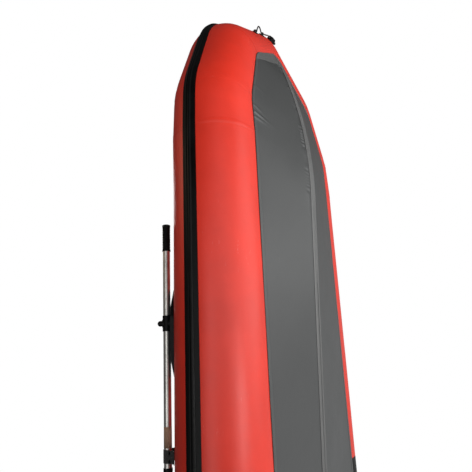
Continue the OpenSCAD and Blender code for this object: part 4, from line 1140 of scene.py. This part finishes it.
def rope_path():
    """The rope's centre line to the nose and through the bow eye: each route point is found on the tube's
    stations by its distance from the centre plane, and a smooth curve runs through them."""
    half = bow_line()
    rows = []
    for distance, angle, height in ROPE:
        ring = in_boat(over_tube(half, [angle], height / 1000))[:, 0]
        keys = -half[:, 1]
        order = np.argsort(keys)
        rows.append([np.interp(distance / 1000, keys[order], ring[order, k]) for k in range(3)])
    points = np.concatenate([rows, mirrored(rows[-2])[None]])
    arc = np.concatenate([[0], np.cumsum(np.linalg.norm(np.diff(points, axis=0), axis=1))])
    slopes = np.gradient(points, arc, axis=0)
    u = np.linspace(0, arc[-1], 200)
    k = np.clip(np.searchsorted(arc, u, side="right") - 1, 0, len(arc) - 2)
    span = (arc[k + 1] - arc[k])[:, None]
    t = ((u - arc[k]) / span[:, 0])[:, None]
    return ((2 * t ** 3 - 3 * t ** 2 + 1) * points[k] + (t ** 3 - 2 * t ** 2 + t) * span * slopes[k]
            + (3 * t ** 2 - 2 * t ** 3) * points[k + 1] + (t ** 3 - t ** 2) * span * slopes[k + 1])


def make_rope():
    """The bow rope: three strands, as a tube whose radius has three lobes that turn as it goes, with a
    stopper knot at each end."""
    s = sizes()
    path = rope_path()
    tangent = unit(np.gradient(path, axis=0))
    side = unit(np.cross(tangent, [0, 0, 1.0]))
    up = np.cross(side, tangent)
    arc = np.concatenate([[0], np.cumsum(np.linalg.norm(np.diff(path, axis=0), axis=1))])
    a = np.linspace(0, 2 * math.pi, 18, endpoint=False)[None, :]
    lay = 2 * math.pi * arc[:, None] / 0.03
    r = s.rope_d / 2 * (0.93 + 0.1 * np.abs(np.cos(1.5 * (a - lay))))
    across, above = (r * np.cos(a))[..., None], (r * np.sin(a))[..., None]
    rings = path[:, None] + across * side[:, None] + above * up[:, None]
    rope = Surface().add(rings, True, True)
    finish = webbing("rope_braid", tuple(colours().moulded), 500.0)
    piece = rope.build("nose_rope", finish, "hull", "webbing_black", ["bow_rope"])
    knots = Surface()
    for k in (4, -5):
        knots.add(pebble(path[k], [0.0075, 0.008, 0.008], 2.2), True, True)
        tail = path[k] + 0.004 * tangent[k] * (1 if k > 0 else -1)
        knots.add(pebble(tail, [0.006, 0.009, 0.006], 2.0), True, True)
    knot = knots.build("rope_knots", finish, "hull", "webbing_black")
    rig.cord(piece, exit=path[0], length=float(arc[-1]), diameter=s.rope_d, far_end="object", stiffness="limp",
            lay="taut", path=path, with_pieces=[knot])


def dress_parts():
    """Finishes for the frame's own parts."""
    c = colours()
    boards = plywood("floor_plywood", 0.0)
    seats = plywood("bench_plywood", math.pi / 2, 0.5)
    board = plywood("transom_plywood", math.pi / 2, 0.3)
    alloy = metal("drawn_alloy", tuple(c.metal), 0.38)
    steel = metal("stainless_steel", tuple(c.steel), 0.22, (90.0, 90.0, 90.0))
    finishes = {
        boards: ["board_bow", "board_mid_fore", "board_mid_aft", "board_stern"],
        seats: ["fore_bench", "aft_bench"],
        board: ["transom"],
        alloy: ["floor_joiners", "floor_stringers", "fore_bench_hooks", "aft_bench_hooks",
                "starboard_oar_shaft", "port_oar_shaft", "starboard_blade_shaft", "port_blade_shaft"],
        steel: ["transom_screws", "tow_eyes", "tow_eye_nuts", "oarlock_pins", "starboard_plunger",
                "port_plunger", "bow_plunger", "keel_plunger"],
        black_rubber(): ["stern_patches", "cone_caps", "transom_flanges", "bench_rails", "carry_handles",
                         "oarlock_pads", "drain_flap"],
    }
    dressed = {node: finish for finish, nodes in finishes.items() for node in nodes}
    for name, node in frame["nodes"].items():
        finish = dressed.get(name, black_moulding())
        node.data.materials.clear()
        node.data.materials.append(finish)


# ---- stage ----


def make_camera():
    """The camera: under the hull's starboard side, its upright along the boat."""
    light = bpy.context.scene.dinghy_light
    data = bpy.data.cameras.new("camera")
    data.sensor_width, data.lens = 36.0, light.lens
    data.clip_start, data.clip_end = 0.05, 60.0
    camera = bpy.data.objects.new("camera", data)
    bpy.context.scene.collection.objects.link(camera)
    place = Vector((STERN[0] + light.camera_x, -light.camera_side, -light.camera_drop))
    aim = Vector((STERN[0] + light.aim_x, 0.0, light.aim_z))
    forward = (aim - place).normalized()
    right = forward.cross(Vector((1, 0, 0))).normalized()
    up = right.cross(forward)
    turn = Matrix((right, up, -forward)).transposed().to_4x4()
    camera.matrix_world = Matrix.Translation(place) @ turn
    bpy.context.scene.camera = camera
    return place, forward, right, up


def area_light(name, place, aim, size, power, tint=(1, 1, 1), shades=True, reflects=True):
    """A soft light that faces a point."""
    data = bpy.data.lights.new(name, "AREA")
    data.shape, data.size, data.size_y, data.energy, data.color = "RECTANGLE", size[0], size[1], power, tint
    lamp = bpy.data.objects.new(name, data)
    bpy.context.scene.collection.objects.link(lamp)
    lamp.visible_camera = False
    lamp.visible_diffuse = shades
    lamp.visible_glossy = reflects
    turn = (Vector(aim) - Vector(place)).to_track_quat("-Z", "Y").to_matrix().to_4x4()
    lamp.matrix_world = Matrix.Translation(place) @ turn
    return lamp


def floor_material():
    """Pale floor seen from above only: from below it is clear, so that the underside can be looked at."""
    made = bpy.data.materials.new("pale_floor")
    made.use_nodes = True
    tree = made.node_tree
    shader = next(n for n in tree.nodes if n.type == "BSDF_PRINCIPLED")
    out = next(n for n in tree.nodes if n.type == "OUTPUT_MATERIAL")
    place = put(tree, "ShaderNodeTexCoord").outputs["Object"]
    c = tuple(bpy.context.scene.dinghy_colours.floor)
    tone = mixed(tree, ramped(tree, noise(tree, place, 1.3, 3.0), 0.3, 0.7), tuple(0.97 * x for x in c), c)
    dull = tuple(0.22 * x for x in c)
    link(tree, shader, base_color=mixed(tree, 0.85, tone, dull), emission_color=tone)
    shader.inputs["Roughness"].default_value = 0.8
    shader.inputs["Emission Strength"].default_value = 0.62
    clear = put(tree, "ShaderNodeBsdfTransparent")
    back = put(tree, "ShaderNodeNewGeometry").outputs["Backfacing"]
    either = put(tree, "ShaderNodeMixShader", {0: back, 1: shader.outputs[0], 2: clear.outputs[0]})
    tree.links.new(either.outputs[0], out.inputs["Surface"])
    return made


def make_stage():
    """Floor, even light and three soft lights."""
    light = bpy.context.scene.dinghy_light
    _place, forward, right, up = make_camera()
    low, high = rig.bounds()
    middle = (Vector(low) + Vector(high)) / 2
    mesh = bpy.data.meshes.new("floor")
    r = 14.0
    mesh.from_pydata([(-r, -r, 0), (r, -r, 0), (r, r, 0), (-r, r, 0)], [], [(0, 1, 2, 3)])
    floor = bpy.data.objects.new("floor", mesh)
    mesh.materials.append(floor_material())
    bpy.context.scene.collection.objects.link(floor)
    floor.visible_shadow = False
    floor.visible_diffuse = False
    floor.visible_glossy = False
    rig.stage(floor)
    area_light("key", middle + right * 2.9 - forward * 0.9 + up * 0.9, middle, (3.2, 2.6), light.key_power)
    behind = middle - forward * 2.9 + right * 0.5 + up * 1.2
    area_light("front", behind, middle, (2.4, 2.4), light.front_power, reflects=False)
    below = Vector((-0.8, -1.33, -2.3))
    area_light("sheen", below, (-0.4, -0.7, 0.05), (0.7, 0.7), light.sheen_power, shades=False)
    beside = middle - forward * 2.4 - right * 1.1
    strip = area_light("strip", beside, middle, (0.9, 2.4), light.strip_power, shades=False)
    turn = Matrix((right, up, -forward)).transposed().to_4x4()
    strip.matrix_world = Matrix.Translation(beside) @ turn
    far = middle - right * 2.6 - forward * 0.3 + up * 1.2
    area_light("fill", far, middle, (1.2, 1.2), light.fill_power, (1, 0.8, 0.55))
    area_light("top", Vector((0.6, 2.4, 2.8)), (0, 0, 0.2), (3.0, 3.0), light.top_power)
    world = bpy.data.worlds.new("even_light")
    world.use_nodes = True
    tree = world.node_tree
    toward = put(tree, "ShaderNodeTexCoord").outputs["Generated"]
    side = put(tree, "ShaderNodeVectorMath", {0: toward, 1: (-0.35, 0.45, -0.82)}, operation="DOT_PRODUCT")
    side = side.outputs["Value"]
    even = tree.nodes["Background"]
    even.inputs[0].default_value = (0.98, 0.99, 1.0, 1.0)
    tree.links.new(ramped(tree, side, 0.1, 1.0, light.ambient_low, light.ambient_high), even.inputs[1])
    white = put(tree, "ShaderNodeBackground", {0: (1.0, 1.0, 1.0, 1.0), 1: 1.0})
    seen = put(tree, "ShaderNodeLightPath").outputs["Is Camera Ray"]
    both = put(tree, "ShaderNodeMixShader", {0: seen, 1: even.outputs[0], 2: white.outputs[0]})
    tree.links.new(both.outputs[0], tree.nodes["World Output"].inputs["Surface"])
    bpy.context.scene.world = world
    bpy.context.scene.view_settings.view_transform = "Standard"


# ---- operators ----


class DinghyPiece:
    """Shared part of the operators: run the piece's own function."""

    bl_options = {"REGISTER", "UNDO"}

    def execute(self, context):
        """Builds the piece."""
        self.make()
        return {"FINISHED"}


class DINGHY_OT_stage(DinghyPiece, bpy.types.Operator):
    """Camera, floor and lights"""

    bl_idname = "dinghy.stage"
    bl_label = "Stage"
    make = staticmethod(make_stage)


class DINGHY_OT_rope(DinghyPiece, bpy.types.Operator):
    """Three-strand rope through the bow eyelets"""

    bl_idname = "dinghy.rope"
    bl_label = "Bow rope"
    make = staticmethod(make_rope)


class DINGHY_OT_chambers(DinghyPiece, bpy.types.Operator):
    """Side tubes, bow tube and stern cones in coated fabric"""

    bl_idname = "dinghy.chambers"
    bl_label = "Air chambers"
    make = staticmethod(make_chambers)


class DINGHY_OT_seam_bands(DinghyPiece, bpy.types.Operator):
    """Bands over the seams of the chambers"""

    bl_idname = "dinghy.seam_bands"
    bl_label = "Seam bands"
    make = staticmethod(make_seam_bands)


class DINGHY_OT_strake(DinghyPiece, bpy.types.Operator):
    """Rubbing strake round the hull"""

    bl_idname = "dinghy.strake"
    bl_label = "Rubbing strake"
    make = staticmethod(make_strake)


class DINGHY_OT_bottom(DinghyPiece, bpy.types.Operator):
    """Bottom fabric, tapes, front band and keel protector"""

    bl_idname = "dinghy.bottom"
    bl_label = "Bottom"
    make = staticmethod(make_bottom)


class DINGHY_OT_air_keel(DinghyPiece, bpy.types.Operator):
    """Air keel under the floor"""

    bl_idname = "dinghy.air_keel"
    bl_label = "Air keel"
    make = staticmethod(make_air_keel)


class DINGHY_OT_grips(DinghyPiece, bpy.types.Operator):
    """Ribbed grips of both oars"""

    bl_idname = "dinghy.grips"
    bl_label = "Oar grips"
    make = staticmethod(make_grips)


class DINGHY_OT_blades(DinghyPiece, bpy.types.Operator):
    """Blades of both oars"""

    bl_idname = "dinghy.blades"
    bl_label = "Oar blades"
    make = staticmethod(make_blades)


class DINGHY_OT_shaft_tapes(DinghyPiece, bpy.types.Operator):
    """Plain tape at the joints of both oar shafts"""

    bl_idname = "dinghy.shaft_tapes"
    bl_label = "Shaft tapes"
    make = staticmethod(make_shaft_tapes)


class DINGHY_OT_straps(DinghyPiece, bpy.types.Operator):
    """Stow straps and buckles"""

    bl_idname = "dinghy.straps"
    bl_label = "Stow straps"
    make = staticmethod(make_straps)


class DINGHY_OT_finishes(DinghyPiece, bpy.types.Operator):
    """Finishes of the frame's own parts"""

    bl_idname = "dinghy.finishes"
    bl_label = "Finishes"
    make = staticmethod(dress_parts)


OPERATORS = (
    DINGHY_OT_stage, DINGHY_OT_rope, DINGHY_OT_chambers, DINGHY_OT_seam_bands, DINGHY_OT_strake,
    DINGHY_OT_bottom, DINGHY_OT_air_keel, DINGHY_OT_grips, DINGHY_OT_blades, DINGHY_OT_shaft_tapes,
    DINGHY_OT_straps, DINGHY_OT_finishes,
)


class DINGHY_PT_panel(bpy.types.Panel):
    """Lists the pieces in the sidebar"""

    bl_label = "Inflatable dinghy"
    bl_idname = "DINGHY_PT_panel"
    bl_space_type = "VIEW_3D"
    bl_region_type = "UI"
    bl_category = "Dinghy"

    def draw(self, context):
        """One button for each operator, then the settings."""
        for operator in OPERATORS:
            self.layout.operator(operator.bl_idname)
        scene = context.scene
        for settings in (scene.dinghy_sizes, scene.dinghy_colours, scene.dinghy_light):
            box = self.layout.box()
            for name in settings.__annotations__:
                box.prop(settings, name)


CLASSES = (DinghySizes, DinghyColours, DinghyLight, *OPERATORS, DINGHY_PT_panel)


def register():
    """Registers the classes and puts the settings on the scene."""
    for cls in CLASSES:
        bpy.utils.register_class(cls)
    bpy.types.Scene.dinghy_sizes = bpy.props.PointerProperty(type=DinghySizes)
    bpy.types.Scene.dinghy_colours = bpy.props.PointerProperty(type=DinghyColours)
    bpy.types.Scene.dinghy_light = bpy.props.PointerProperty(type=DinghyLight)


def unregister():
    """Takes the settings and the classes away again."""
    for name in ("dinghy_sizes", "dinghy_colours", "dinghy_light"):
        delattr(bpy.types.Scene, name)
    for cls in reversed(CLASSES):
        bpy.utils.unregister_class(cls)


def main():
    """Builds everything in order and writes both boxes."""
    register()
    for operator in OPERATORS:
        section, name = operator.bl_idname.split(".")
        getattr(getattr(bpy.ops, section), name)()
    made = [list(corner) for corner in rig.bounds()]
    with open(SIZE_FILE, "w") as file:
        json.dump({"cad": CAD_BOX, "visual": made}, file)


if __name__ == "__main__":
    main()
